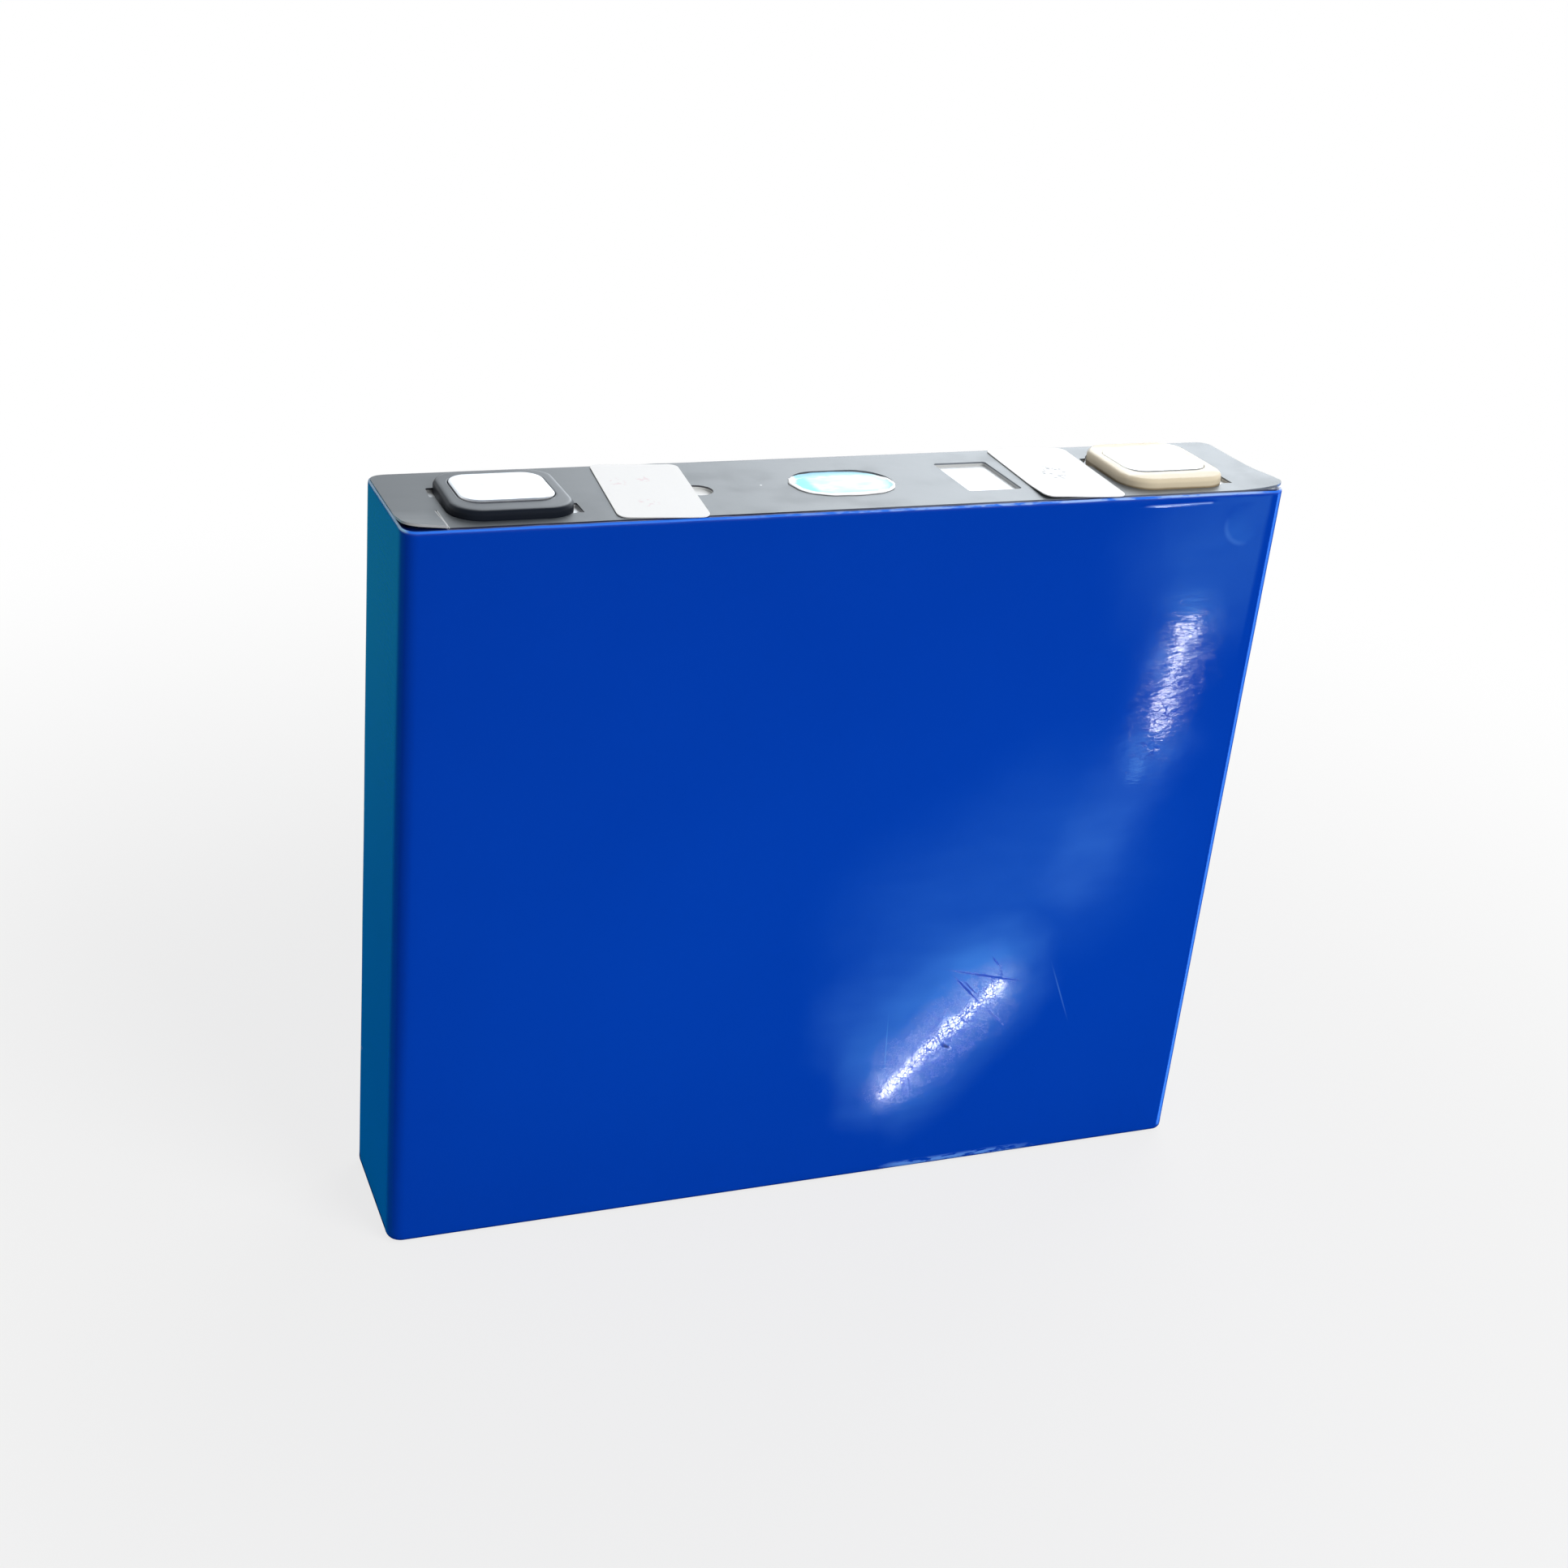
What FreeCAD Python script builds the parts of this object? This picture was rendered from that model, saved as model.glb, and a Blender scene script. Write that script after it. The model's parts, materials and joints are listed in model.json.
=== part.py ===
import FreeCAD, Part
import math
import os
import re
import Sketcher

# A prismatic lithium-ion battery cell: a flat aluminium can with a welded lid, two wound electrode
# rolls inside, and a blue insulating film wrapped round the outside.
# Frame: X along the width (negative terminal at -X), Y along the thickness (front face at -Y),
# Z up. The origin is the middle of the face that the cell stands on. Millimetres.

SIZES = {
    # blue wrap film
    "cell_width": 148.3,
    "cell_thickness": 26.7,
    "film_thickness": 0.2,
    "film_corner_radius": 2.6,
    "film_bottom_radius": 1.0,
    "film_fold_width": 2.4,
    "film_opening_radius": 2.0,
    "film_glue": 0.05,
    # can and lid
    "can_height": 124.35,
    "can_wall": 0.8,
    "can_floor": 1.2,
    "lid_flange_thickness": 0.8,
    "lid_plug_depth": 1.2,
    "lid_plug_gap": 0.05,
    # vent
    "vent_hole_length": 13.6,
    "vent_hole_width": 8.0,
    "vent_disc_length": 15.6,
    "vent_disc_width": 10.0,
    "vent_disc_thickness": 0.6,
    "vent_disc_gap": 0.05,
    "vent_dish_depth": 0.3,
    "vent_dish_margin": 1.5,
    "vent_score_margin": 0.8,
    "vent_score_width": 0.25,
    "vent_score_depth": 0.15,
    "vent_film_length": 15.4,
    "vent_film_width": 9.8,
    "vent_film_thickness": 0.15,
    "grille_width": 24.0,
    "grille_side_gap": 2.3,
    "grille_height": 1.6,
    "grille_radius": 3.0,
    "grille_rim": 2.0,
    "grille_floor": 0.8,
    "grille_slot_width": 1.4,
    "grille_slot_length": 12.0,
    "grille_slot_pitch": 3.4,
    "grille_slot_count": 5,
    # fill port
    "fill_offset": 24.6,
    "fill_hole_diameter": 3.0,
    "fill_plug_gap": 0.04,
    "fill_cap_diameter": 6.4,
    "fill_cap_thickness": 0.6,
    "fill_cap_gap": 0.05,
    # grey sheet on the lid
    "sheet_left_margin": 1.1,
    "sheet_right_margin": 0.2,
    "sheet_side_margin": 0.8,
    "sheet_radius": 2.2,
    "sheet_thickness": 0.4,
    "sheet_step_gap": 0.1,
    "sheet_frame_gap": 0.25,
    "sheet_vent_length": 17.2,
    "sheet_vent_width": 11.4,
    "sheet_fill_diameter": 5.2,
    "window_offset": 23.8,
    "window_width": 9.4,
    "window_depth": 13.9,
    "window_radius": 0.6,
    "notch_reach": 1.2,
    "notch_length": 4.6,
    "notch_offset": 5.0,
    # stickers
    "label_width": 14.3,
    "label_side_margin": 1.05,
    "label_radius": 1.8,
    "label_thickness": 0.15,
    "label_left_distance": 23.5,
    "label_left_turn": 6.5,
    "label_right_distance": 18.2,
    "label_right_turn": 3.0,
    # terminals
    "terminal_end_distance": 18.15,
    "frame_width": 19.4,
    "frame_side_margin": 3.05,
    "frame_radius": 5.0,
    "frame_floor": 0.8,
    "frame_pad_gap": 0.1,
    "negative_frame_height": 2.1,
    "negative_frame_edge": 1.4,
    "positive_frame_height": 2.25,
    "positive_frame_edge": 0.8,
    "pad_width": 14.8,
    "pad_depth": 12.4,
    "pad_radius": 3.2,
    "pad_thickness": 1.6,
    "pad_edge": 0.3,
    "rivet_diameter": 8.0,
    "rivet_gap": 0.1,
    "rivet_reach": 0.8,
    "rivet_disc_diameter": 15.0,
    "rivet_disc_thickness": 1.2,
    "seal_wall": 1.1,
    "seal_flange_diameter": 13.0,
    "seal_gap": 0.05,
    # insulators and collectors under the lid
    "insulator_thickness": 0.8,
    "insulator_end_gap": 0.4,
    "insulator_side_gap": 0.4,
    "insulator_middle_gap": 0.2,
    "insulator_radius": 1.2,
    "insulator_skirt_height": 3.0,
    "insulator_skirt_wall": 1.0,
    "insulator_port_diameter": 6.0,
    "collector_thickness": 0.8,
    "collector_side_gap": 2.8,
    "collector_outer_reach": 8.5,
    "collector_inner_reach": 28.0,
    "collector_radius": 3.0,
    "fuse_slot_width": 2.0,
    "fuse_slot_length": 12.0,
    "fuse_slot_offset": 9.2,
    # foil tabs
    "tab_width": 16.0,
    "tab_offset": 19.0,
    "tab_thickness": 0.4,
    "tab_edge_margin": 0.7,
    "tab_middle_gap": 1.6,
    "tab_bend_radius": 0.6,
    "weld_tape_width": 17.6,
    "weld_tape_thickness": 0.15,
    # electrode rolls, their bag and tray
    "bag_gap": 0.1,
    "bag_wall": 0.2,
    "bag_top_gap": 2.15,
    "tray_thickness": 1.0,
    "tray_gap": 0.3,
    "tray_slot_length": 12.0,
    "tray_slot_width": 3.0,
    "tray_slot_pitch": 22.0,
    "tray_slot_count": 6,
    "tab_rise": 4.95,
    "roll_end_gap": 0.4,
    "roll_side_gap": 0.2,
    "roll_middle_gap": 0.1,
    "roll_slit": 0.5,
    "closing_tape_width": 19.0,
    "closing_tape_margin": 26.5,
    "closing_tape_thickness": 0.12,
}

# Levels and fits that follow from the sizes, as formulas for the document's expressions.
SKIN = "(film_thickness + film_glue)"
CAN_WIDTH = f"(cell_width - 2 * {SKIN})"
CAN_DEPTH = f"(cell_thickness - 2 * {SKIN})"
CAN_CORNER = f"(film_corner_radius - {SKIN})"
CAVITY_WIDTH = f"({CAN_WIDTH} - 2 * can_wall)"
CAVITY_DEPTH = f"({CAN_DEPTH} - 2 * can_wall)"
CAVITY_CORNER = f"({CAN_CORNER} - can_wall)"
CAVITY_FLOOR = f"({SKIN} + can_floor)"
RIM = f"({SKIN} + can_height)"
LID_TOP = f"({RIM} + lid_flange_thickness)"
LID_UNDERSIDE = f"({RIM} - lid_plug_depth)"
LID_THICKNESS = "(lid_flange_thickness + lid_plug_depth)"
FILM_TOP = f"({LID_TOP} + {SKIN})"
SHEET_TOP = f"({FILM_TOP} + sheet_thickness)"
PAD_BASE = f"({LID_TOP} + frame_floor)"
INSULATOR_BASE = f"({LID_UNDERSIDE} - insulator_thickness)"
COLLECTOR_BASE = f"({INSULATOR_BASE} - rivet_disc_thickness - collector_thickness)"
COLLECTOR_DEPTH = f"({CAVITY_DEPTH} - 2 * collector_side_gap)"
TERMINAL_OFFSET = "(cell_width / 2 - terminal_end_distance)"
FRAME_DEPTH = "(cell_thickness - 2 * frame_side_margin)"
GRILLE_DEPTH = f"({CAVITY_DEPTH} - 2 * grille_side_gap)"
SEAL_HOLE = "(rivet_diameter + 2 * (2 * seal_gap + seal_wall))"
SEAL_BORE = "(rivet_diameter + 2 * seal_gap)"
BAG_WIDTH = f"({CAVITY_WIDTH} - 2 * bag_gap)"
BAG_DEPTH = f"({CAVITY_DEPTH} - 2 * bag_gap)"
BAG_CORNER = f"({CAVITY_CORNER} - bag_gap)"
BAG_FLOOR = f"({CAVITY_FLOOR} + bag_wall)"
ROLL_BASE = f"({BAG_FLOOR} + tray_thickness)"
ROLL_WIDTH = f"({BAG_WIDTH} - 2 * (bag_wall + roll_end_gap))"
ROLL_SIDE = f"({BAG_DEPTH} / 2 - bag_wall - roll_side_gap)"
ROLL_THICKNESS = f"({ROLL_SIDE} - roll_middle_gap / 2)"
ROLL_TOP = f"({COLLECTOR_BASE} - tab_rise)"
ROLL_HEIGHT = f"({ROLL_TOP} - {ROLL_BASE})"
TAB_REACH = f"({COLLECTOR_DEPTH} / 2 - tab_edge_margin)"
BAG_HEIGHT = f"({INSULATOR_BASE} - bag_top_gap - {CAVITY_FLOOR})"
CLOSING_TAPE_HEIGHT = f"({ROLL_HEIGHT} - 2 * closing_tape_margin)"

TINY = 1e-6

doc = FreeCAD.newDocument("PrismaticCell")
dimensions = doc.addObject("Spreadsheet::Sheet", "Dimensions")
for row, (name, size) in enumerate(SIZES.items(), 1):
    dimensions.set(f"A{row}", name)
    dimensions.set(f"B{row}", str(size))
    dimensions.setAlias(f"B{row}", name)
doc.recompute()

pieces = []


def cells(formula):
    """The formula with each size written as a cell of the Dimensions sheet."""
    return re.sub(r"[a-z_]+", lambda word: f"Dimensions.{word[0]}", formula)


def value(formula):
    return float(dimensions.evalExpression(cells(formula)))


def bind(item, path, formula):
    item.setExpression(path, cells(formula))


def place(item, x="0", y="0", z="0", turn="0"):
    for axis, formula in zip("xyz", (x, y, z)):
        bind(item, f"Placement.Base.{axis}", formula)
    bind(item, "Placement.Rotation.Angle", turn)


def add_body(name, **placing):
    body = doc.addObject("PartDesign::Body", name)
    place(body, **placing)
    pieces.append(body)
    return body


def add_sketch(body, role="XY_Plane", x="0", y="0", z="0"):
    """A sketch on one of the body's own origin planes, moved within that plane's own axes."""
    sketch = body.newObject("Sketcher::SketchObject", f"{body.Name}_sketch")
    plane = next(p for p in body.Origin.OriginFeatures if p.Role == role)
    sketch.AttachmentSupport = [(plane, "")]
    sketch.MapMode = "FlatFace"
    for axis, formula in zip("xyz", (x, y, z)):
        bind(sketch, f"AttachmentOffset.Base.{axis}", formula)
    return sketch


def drive(sketch, kind, *place_and_formula):
    """A driving constraint whose value follows a formula."""
    *where, formula = place_and_formula
    index = sketch.addConstraint(Sketcher.Constraint(kind, *where, value(formula)))
    bind(sketch, f"Constraints[{index}]", formula)


def point(x, y):
    return FreeCAD.Vector(x, y, 0)


def arc(x, y, radius, start):
    circle = Part.Circle(point(x, y), FreeCAD.Vector(0, 0, 1), radius)
    return Part.ArcOfCircle(circle, start, start + math.pi / 2)


def rounded_rectangle(sketch, width, depth, corner):
    """A rectangle with round corners, centred on the sketch's origin."""
    w, d, r = value(width) / 2, value(depth) / 2, value(corner)
    sides = (
        (point(r - w, -d), point(w - r, -d)),
        (point(w, r - d), point(w, d - r)),
        (point(w - r, d), point(r - w, d)),
        (point(-w, d - r), point(-w, r - d)),
    )
    centres = ((w - r, r - d), (w - r, d - r), (r - w, d - r), (r - w, r - d))
    first = sketch.GeometryCount
    for turn, ((start, end), (x, y)) in enumerate(zip(sides, centres)):
        sketch.addGeometry(Part.LineSegment(start, end))
        sketch.addGeometry(arc(x, y, r, (turn - 1) * math.pi / 2))
    for turn in range(4):
        line = first + 2 * turn
        following = first + (2 * turn + 2) % 8
        sketch.addConstraint(Sketcher.Constraint("Tangent", line, 2, line + 1, 1))
        sketch.addConstraint(Sketcher.Constraint("Tangent", line + 1, 2, following, 1))
        sketch.addConstraint(Sketcher.Constraint("Vertical" if turn % 2 else "Horizontal", line))
        if turn:
            sketch.addConstraint(Sketcher.Constraint("Equal", first + 1, line + 1))
    sketch.addConstraint(Sketcher.Constraint("Symmetric", first + 1, 3, first + 5, 3, -1, 1))
    drive(sketch, "DistanceX", first + 6, 1, first + 2, 1, width)
    drive(sketch, "DistanceY", first, 1, first + 4, 1, depth)
    drive(sketch, "Radius", first + 1, corner)


def stadium(sketch, length, width):
    """Two half circles joined by straight sides, centred on the sketch's origin."""
    r = value(width) / 2
    reach = value(length) / 2 - r
    up = FreeCAD.Vector(0, 0, 1)
    first = sketch.GeometryCount
    sketch.addGeometry(Part.LineSegment(point(-reach, -r), point(reach, -r)))
    sketch.addGeometry(Part.ArcOfCircle(Part.Circle(point(reach, 0), up, r), -math.pi / 2, math.pi / 2))
    sketch.addGeometry(Part.LineSegment(point(reach, r), point(-reach, r)))
    sketch.addGeometry(Part.ArcOfCircle(Part.Circle(point(-reach, 0), up, r), math.pi / 2, 3 * math.pi / 2))
    for side in range(4):
        following = first + (side + 1) % 4
        sketch.addConstraint(Sketcher.Constraint("Tangent", first + side, 2, following, 1))
    sketch.addConstraint(Sketcher.Constraint("Horizontal", first))
    sketch.addConstraint(Sketcher.Constraint("Symmetric", first + 1, 3, first + 3, 3, -1, 1))
    drive(sketch, "DistanceX", first, 1, first, 2, f"({length} - {width})")
    drive(sketch, "DistanceY", first, 1, first + 2, 2, width)


def circle(sketch, diameter):
    radius = value(diameter) / 2
    index = sketch.addGeometry(Part.Circle(point(0, 0), FreeCAD.Vector(0, 0, 1), radius))
    sketch.addConstraint(Sketcher.Constraint("Coincident", index, 3, -1, 1))
    drive(sketch, "Diameter", index, diameter)


def polygon(sketch, *corners):
    """A closed outline of level and upright lines, each corner held by its own formulas."""
    places = [(value(x), value(y)) for x, y in corners]
    first = sketch.GeometryCount
    for start, end in zip(places, places[1:] + places[:1]):
        sketch.addGeometry(Part.LineSegment(point(*start), point(*end)))
    for side in range(len(places)):
        following = first + (side + 1) % len(places)
        sketch.addConstraint(Sketcher.Constraint("Coincident", first + side, 2, following, 1))
    for side, ((x, y), (real_x, real_y)) in enumerate(zip(corners, places), first):
        if real_x:
            drive(sketch, "DistanceX", -1, 1, side, 1, x)
        else:
            sketch.addConstraint(Sketcher.Constraint("PointOnObject", side, 1, -2))
        if real_y:
            drive(sketch, "DistanceY", -1, 1, side, 1, y)
        else:
            sketch.addConstraint(Sketcher.Constraint("PointOnObject", side, 1, -1))


def pad(body, sketch, length, down=False):
    feature = body.newObject("PartDesign::Pad", f"{body.Name}_pad")
    feature.Profile = sketch
    feature.Reversed = down
    bind(feature, "Length", length)
    return feature


def pocket(body, sketch, depth, up=False):
    """A pocket below its sketch, or above it with up; it must remove material."""
    doc.recompute()
    before = body.Shape.Volume
    feature = body.newObject("PartDesign::Pocket", f"{body.Name}_pocket")
    feature.Profile = sketch
    feature.Reversed = up
    bind(feature, "Length", depth)
    doc.recompute()
    if not body.Shape.Volume < before:
        raise ValueError(f"{feature.Name} removes nothing")
    return feature


def round_edges(body, radius, chosen):
    """A fillet along the body's edges that the test picks."""
    doc.recompute()
    base = body.Tip
    names = [f"Edge{number}" for number, edge in enumerate(base.Shape.Edges, 1) if chosen(edge.BoundBox)]
    feature = body.newObject("PartDesign::Fillet", f"{body.Name}_fillet")
    feature.Base = (base, names)
    bind(feature, "Radius", radius)
    return feature


def level_edges(height):
    """Picks the edges that lie flat at one height of the body's own frame."""
    level = value(height)
    return lambda box: abs(box.ZMin - level) < TINY and abs(box.ZMax - level) < TINY


def plate(name, outline, thickness, **placing):
    """A flat piece of one thickness; outline draws its sketch."""
    body = add_body(name, **placing)
    sketch = add_sketch(body)
    outline(sketch)
    pad(body, sketch, thickness)
    return body


def repeat(body, feature, role, pitch, count):
    """Copies of a feature in a row along one of the body's own axes, centred on its origin."""
    pattern = body.newObject("PartDesign::LinearPattern", f"{body.Name}_pattern")
    pattern.Originals = [feature]
    axis = next(a for a in body.Origin.OriginFeatures if a.Role == role)
    pattern.Direction = (axis, [""])
    bind(pattern, "Length", f"({pitch} * ({count} - 1))")
    bind(pattern, "Occurrences", count)
    body.Tip = pattern


# ---------------------------------------------------------------- can, lid and film

def make_wrap_film():
    """Walls and floor of blue film, folded in over the rim of the lid."""
    body = add_body("wrap_film")
    outside = add_sketch(body)
    rounded_rectangle(outside, "cell_width", "cell_thickness", "film_corner_radius")
    pad(body, outside, FILM_TOP)
    cavity = add_sketch(body, z="film_thickness")
    rounded_rectangle(cavity, "(cell_width - 2 * film_thickness)", "(cell_thickness - 2 * film_thickness)",
                      "(film_corner_radius - film_thickness)")
    pocket(body, cavity, f"({FILM_TOP} - 2 * film_thickness)", up=True)
    round_edges(body, "(film_bottom_radius - film_thickness)", level_edges("film_thickness"))
    opening = add_sketch(body, z=FILM_TOP)
    rounded_rectangle(opening, "(cell_width - 2 * film_fold_width)",
                      "(cell_thickness - 2 * film_fold_width)", "film_opening_radius")
    pocket(body, opening, "film_thickness")
    round_edges(body, "film_bottom_radius", level_edges("0"))


def make_can():
    """The deep-drawn can, open at the top."""
    body = add_body("can", z=SKIN)
    outside = add_sketch(body)
    rounded_rectangle(outside, CAN_WIDTH, CAN_DEPTH, CAN_CORNER)
    pad(body, outside, "can_height")
    round_edges(body, f"(film_bottom_radius - {SKIN})", level_edges("0"))
    cavity = add_sketch(body, z="can_height")
    rounded_rectangle(cavity, CAVITY_WIDTH, CAVITY_DEPTH, CAVITY_CORNER)
    pocket(body, cavity, "(can_height - can_floor)")


def make_lid():
    """The lid: its flange lies on the can's rim and its plug fits inside the can."""
    body = add_body("lid_plate", z=RIM)
    flange = add_sketch(body)
    rounded_rectangle(flange, CAN_WIDTH, CAN_DEPTH, CAN_CORNER)
    pad(body, flange, "lid_flange_thickness")
    plug = add_sketch(body)
    rounded_rectangle(plug, f"({CAVITY_WIDTH} - 2 * lid_plug_gap)", f"({CAVITY_DEPTH} - 2 * lid_plug_gap)",
                      f"({CAVITY_CORNER} - lid_plug_gap)")
    pad(body, plug, "lid_plug_depth", down=True)
    for offset in (f"-{TERMINAL_OFFSET}", TERMINAL_OFFSET):
        hole = add_sketch(body, x=offset, z="lid_flange_thickness")
        circle(hole, SEAL_HOLE)
        pocket(body, hole, LID_THICKNESS)
    vent = add_sketch(body, z="lid_flange_thickness")
    stadium(vent, "vent_hole_length", "vent_hole_width")
    pocket(body, vent, LID_THICKNESS)
    seat = add_sketch(body, z="-lid_plug_depth")
    stadium(seat, "(vent_disc_length + 2 * vent_disc_gap)", "(vent_disc_width + 2 * vent_disc_gap)")
    pocket(body, seat, "vent_disc_thickness", up=True)
    port = add_sketch(body, x="-fill_offset", z="lid_flange_thickness")
    circle(port, "fill_hole_diameter")
    pocket(body, port, LID_THICKNESS)
    cap_seat = add_sketch(body, x="-fill_offset", z="lid_flange_thickness")
    circle(cap_seat, "(fill_cap_diameter + 2 * fill_cap_gap)")
    pocket(body, cap_seat, "fill_cap_thickness")


# ---------------------------------------------------------------- vent and fill port

def make_vent():
    """The scored burst disc in the lid's seat, the film over it and the grille below it."""
    disc = plate("vent_disc", lambda sketch: stadium(sketch, "vent_disc_length", "vent_disc_width"),
                 "vent_disc_thickness", z=LID_UNDERSIDE)
    dish = add_sketch(disc, z="vent_disc_thickness")
    stadium(dish, "(vent_disc_length - 2 * vent_dish_margin)", "(vent_disc_width - 2 * vent_dish_margin)")
    pocket(disc, dish, "vent_dish_depth")
    score = add_sketch(disc, z="(vent_disc_thickness - vent_dish_depth)")
    for margin in ("vent_score_margin", "(vent_score_margin + vent_score_width)"):
        around = f"2 * (vent_dish_margin + {margin})"
        stadium(score, f"(vent_disc_length - {around})", f"(vent_disc_width - {around})")
    pocket(disc, score, "vent_score_depth")

    plate("vent_film", lambda sketch: stadium(sketch, "vent_film_length", "vent_film_width"),
          "vent_film_thickness", z=LID_TOP)

    grille = plate("vent_grille",
                   lambda sketch: rounded_rectangle(sketch, "grille_width", GRILLE_DEPTH, "grille_radius"),
                   "grille_height", z=f"({LID_UNDERSIDE} - grille_height)")
    chamber = add_sketch(grille, z="grille_height")
    rounded_rectangle(chamber, "(grille_width - 2 * grille_rim)", f"({GRILLE_DEPTH} - 2 * grille_rim)",
                      "(grille_radius / 2)")
    pocket(grille, chamber, "(grille_height - grille_floor)")
    slot = add_sketch(grille, x="-(grille_slot_pitch * (grille_slot_count - 1) / 2)", z="grille_floor")
    rounded_rectangle(slot, "grille_slot_width", "grille_slot_length", "(grille_slot_width / 4)")
    cut = pocket(grille, slot, "grille_floor")
    repeat(grille, cut, "X_Axis", "grille_slot_pitch", "grille_slot_count")


def make_fill_port():
    """The rubber plug in the fill hole and the welded cap over it."""
    plate("fill_plug", lambda sketch: circle(sketch, "(fill_hole_diameter - 2 * fill_plug_gap)"),
          f"({LID_THICKNESS} - fill_cap_thickness)", x="-fill_offset", z=LID_UNDERSIDE)
    plate("fill_cap", lambda sketch: circle(sketch, "fill_cap_diameter"),
          "fill_cap_thickness", x="-fill_offset", z=f"({LID_TOP} - fill_cap_thickness)")


# ---------------------------------------------------------------- sheet and stickers

def make_top_sheet():
    """The sheet lies on the folded film, and its glue layer fills the fold's opening down to the lid."""
    body = add_body("top_sheet", z=FILM_TOP)
    outline = add_sketch(body, x="((sheet_left_margin - sheet_right_margin) / 2)")
    rounded_rectangle(outline, "(cell_width - sheet_left_margin - sheet_right_margin)",
                      "(cell_thickness - 2 * sheet_side_margin)", "sheet_radius")
    pad(body, outline, "sheet_thickness")
    glue = add_sketch(body)
    around = "2 * (film_fold_width + sheet_step_gap)"
    rounded_rectangle(glue, f"(cell_width - {around})", f"(cell_thickness - {around})",
                      "(film_opening_radius - sheet_step_gap)")
    pad(body, glue, SKIN, down=True)
    through = f"(sheet_thickness + {SKIN})"
    for offset in (f"-{TERMINAL_OFFSET}", TERMINAL_OFFSET):
        around_frame = add_sketch(body, x=offset, z="sheet_thickness")
        rounded_rectangle(around_frame, "(frame_width + 2 * sheet_frame_gap)",
                          f"({FRAME_DEPTH} + 2 * sheet_frame_gap)", "(frame_radius + sheet_frame_gap)")
        pocket(body, around_frame, through)
        for side, along in (("-", "notch_offset"), ("+", "-notch_offset")):
            edge = f"({offset} {side} (frame_width / 2 + sheet_frame_gap))"
            notch = add_sketch(body, x=edge, y=along, z="sheet_thickness")
            rounded_rectangle(notch, "(2 * notch_reach)", "notch_length", "(notch_reach / 3)")
            pocket(body, notch, through)
    vent = add_sketch(body, z="sheet_thickness")
    stadium(vent, "sheet_vent_length", "sheet_vent_width")
    pocket(body, vent, through)
    port = add_sketch(body, x="-fill_offset", z="sheet_thickness")
    circle(port, "sheet_fill_diameter")
    pocket(body, port, through)
    window = add_sketch(body, x="window_offset", z="sheet_thickness")
    rounded_rectangle(window, "window_width", "window_depth", "window_radius")
    pocket(body, window, through)


def make_label(name, offset, turn):
    """A sticker across the sheet, put on a little askew."""
    plate(name, lambda sketch: rounded_rectangle(sketch, "label_width", "(cell_thickness - 2 * label_side_margin)",
                                                 "label_radius"),
          "label_thickness", x=offset, z=SHEET_TOP, turn=turn)


# ---------------------------------------------------------------- terminals

def make_terminal(pole, offset, inward_turn):
    """All that one pole has: its surround, pad, rivet, seal, insulator, collector, tabs and tape."""
    frame_height = f"{pole}_frame_height"
    frame = plate(f"{pole}_frame",
                  lambda sketch: rounded_rectangle(sketch, "frame_width", FRAME_DEPTH, "frame_radius"),
                  frame_height, x=offset, z=LID_TOP)
    round_edges(frame, f"{pole}_frame_edge", level_edges(frame_height))
    recess = add_sketch(frame, z=frame_height)
    rounded_rectangle(recess, "(pad_width + 2 * frame_pad_gap)", "(pad_depth + 2 * frame_pad_gap)",
                      "(pad_radius + frame_pad_gap)")
    pocket(frame, recess, f"({frame_height} - frame_floor)")
    hole = add_sketch(frame, z="frame_floor")
    circle(hole, "(rivet_diameter + 2 * rivet_gap)")
    pocket(frame, hole, "frame_floor")

    block = plate(f"{pole}_pad",
                  lambda sketch: rounded_rectangle(sketch, "pad_width", "pad_depth", "pad_radius"),
                  "pad_thickness", x=offset, z=PAD_BASE)
    round_edges(block, "pad_edge", level_edges("pad_thickness"))
    socket = add_sketch(block)
    circle(socket, "(rivet_diameter + 2 * rivet_gap)")
    pocket(block, socket, "rivet_reach", up=True)

    rivet = add_body(f"{pole}_rivet", x=offset, z=f"({INSULATOR_BASE} - rivet_disc_thickness)")
    profile = add_sketch(rivet, role="XZ_Plane")
    top = f"(rivet_disc_thickness + insulator_thickness + {LID_THICKNESS} + frame_floor + rivet_reach)"
    polygon(profile, ("0", "0"), ("rivet_disc_diameter / 2", "0"),
            ("rivet_disc_diameter / 2", "rivet_disc_thickness"), ("rivet_diameter / 2", "rivet_disc_thickness"),
            ("rivet_diameter / 2", top), ("0", top))
    spin(rivet, profile)

    seal = add_body(f"{pole}_seal", x=offset, z=INSULATOR_BASE)
    section = add_sketch(seal, role="XZ_Plane")
    bore = f"({SEAL_BORE} / 2)"
    collar = f"({bore} + seal_wall)"
    collar_top = f"(insulator_thickness + {LID_THICKNESS})"
    polygon(section, (bore, "0"), ("seal_flange_diameter / 2", "0"),
            ("seal_flange_diameter / 2", "insulator_thickness"), (collar, "insulator_thickness"),
            (collar, collar_top), (bore, collar_top))
    spin(seal, section)

    make_insulator(pole, inward_turn)
    make_collector(pole, offset, inward_turn)
    for side, sign in (("front", "-"), ("back", "")):
        make_tabs(pole, offset, side, sign)
    tab_centre = f"({offset} {'+' if inward_turn == '0' else '-'} tab_offset)"
    tape_depth = f"(2 * ({TAB_REACH} - tab_bend_radius - tab_thickness))"
    plate(f"{pole}_weld_tape",
          lambda sketch: rounded_rectangle(sketch, "weld_tape_width", tape_depth, "tab_bend_radius"),
          "weld_tape_thickness", x=tab_centre,
          z=f"({COLLECTOR_BASE} - tab_thickness - weld_tape_thickness)")


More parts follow.
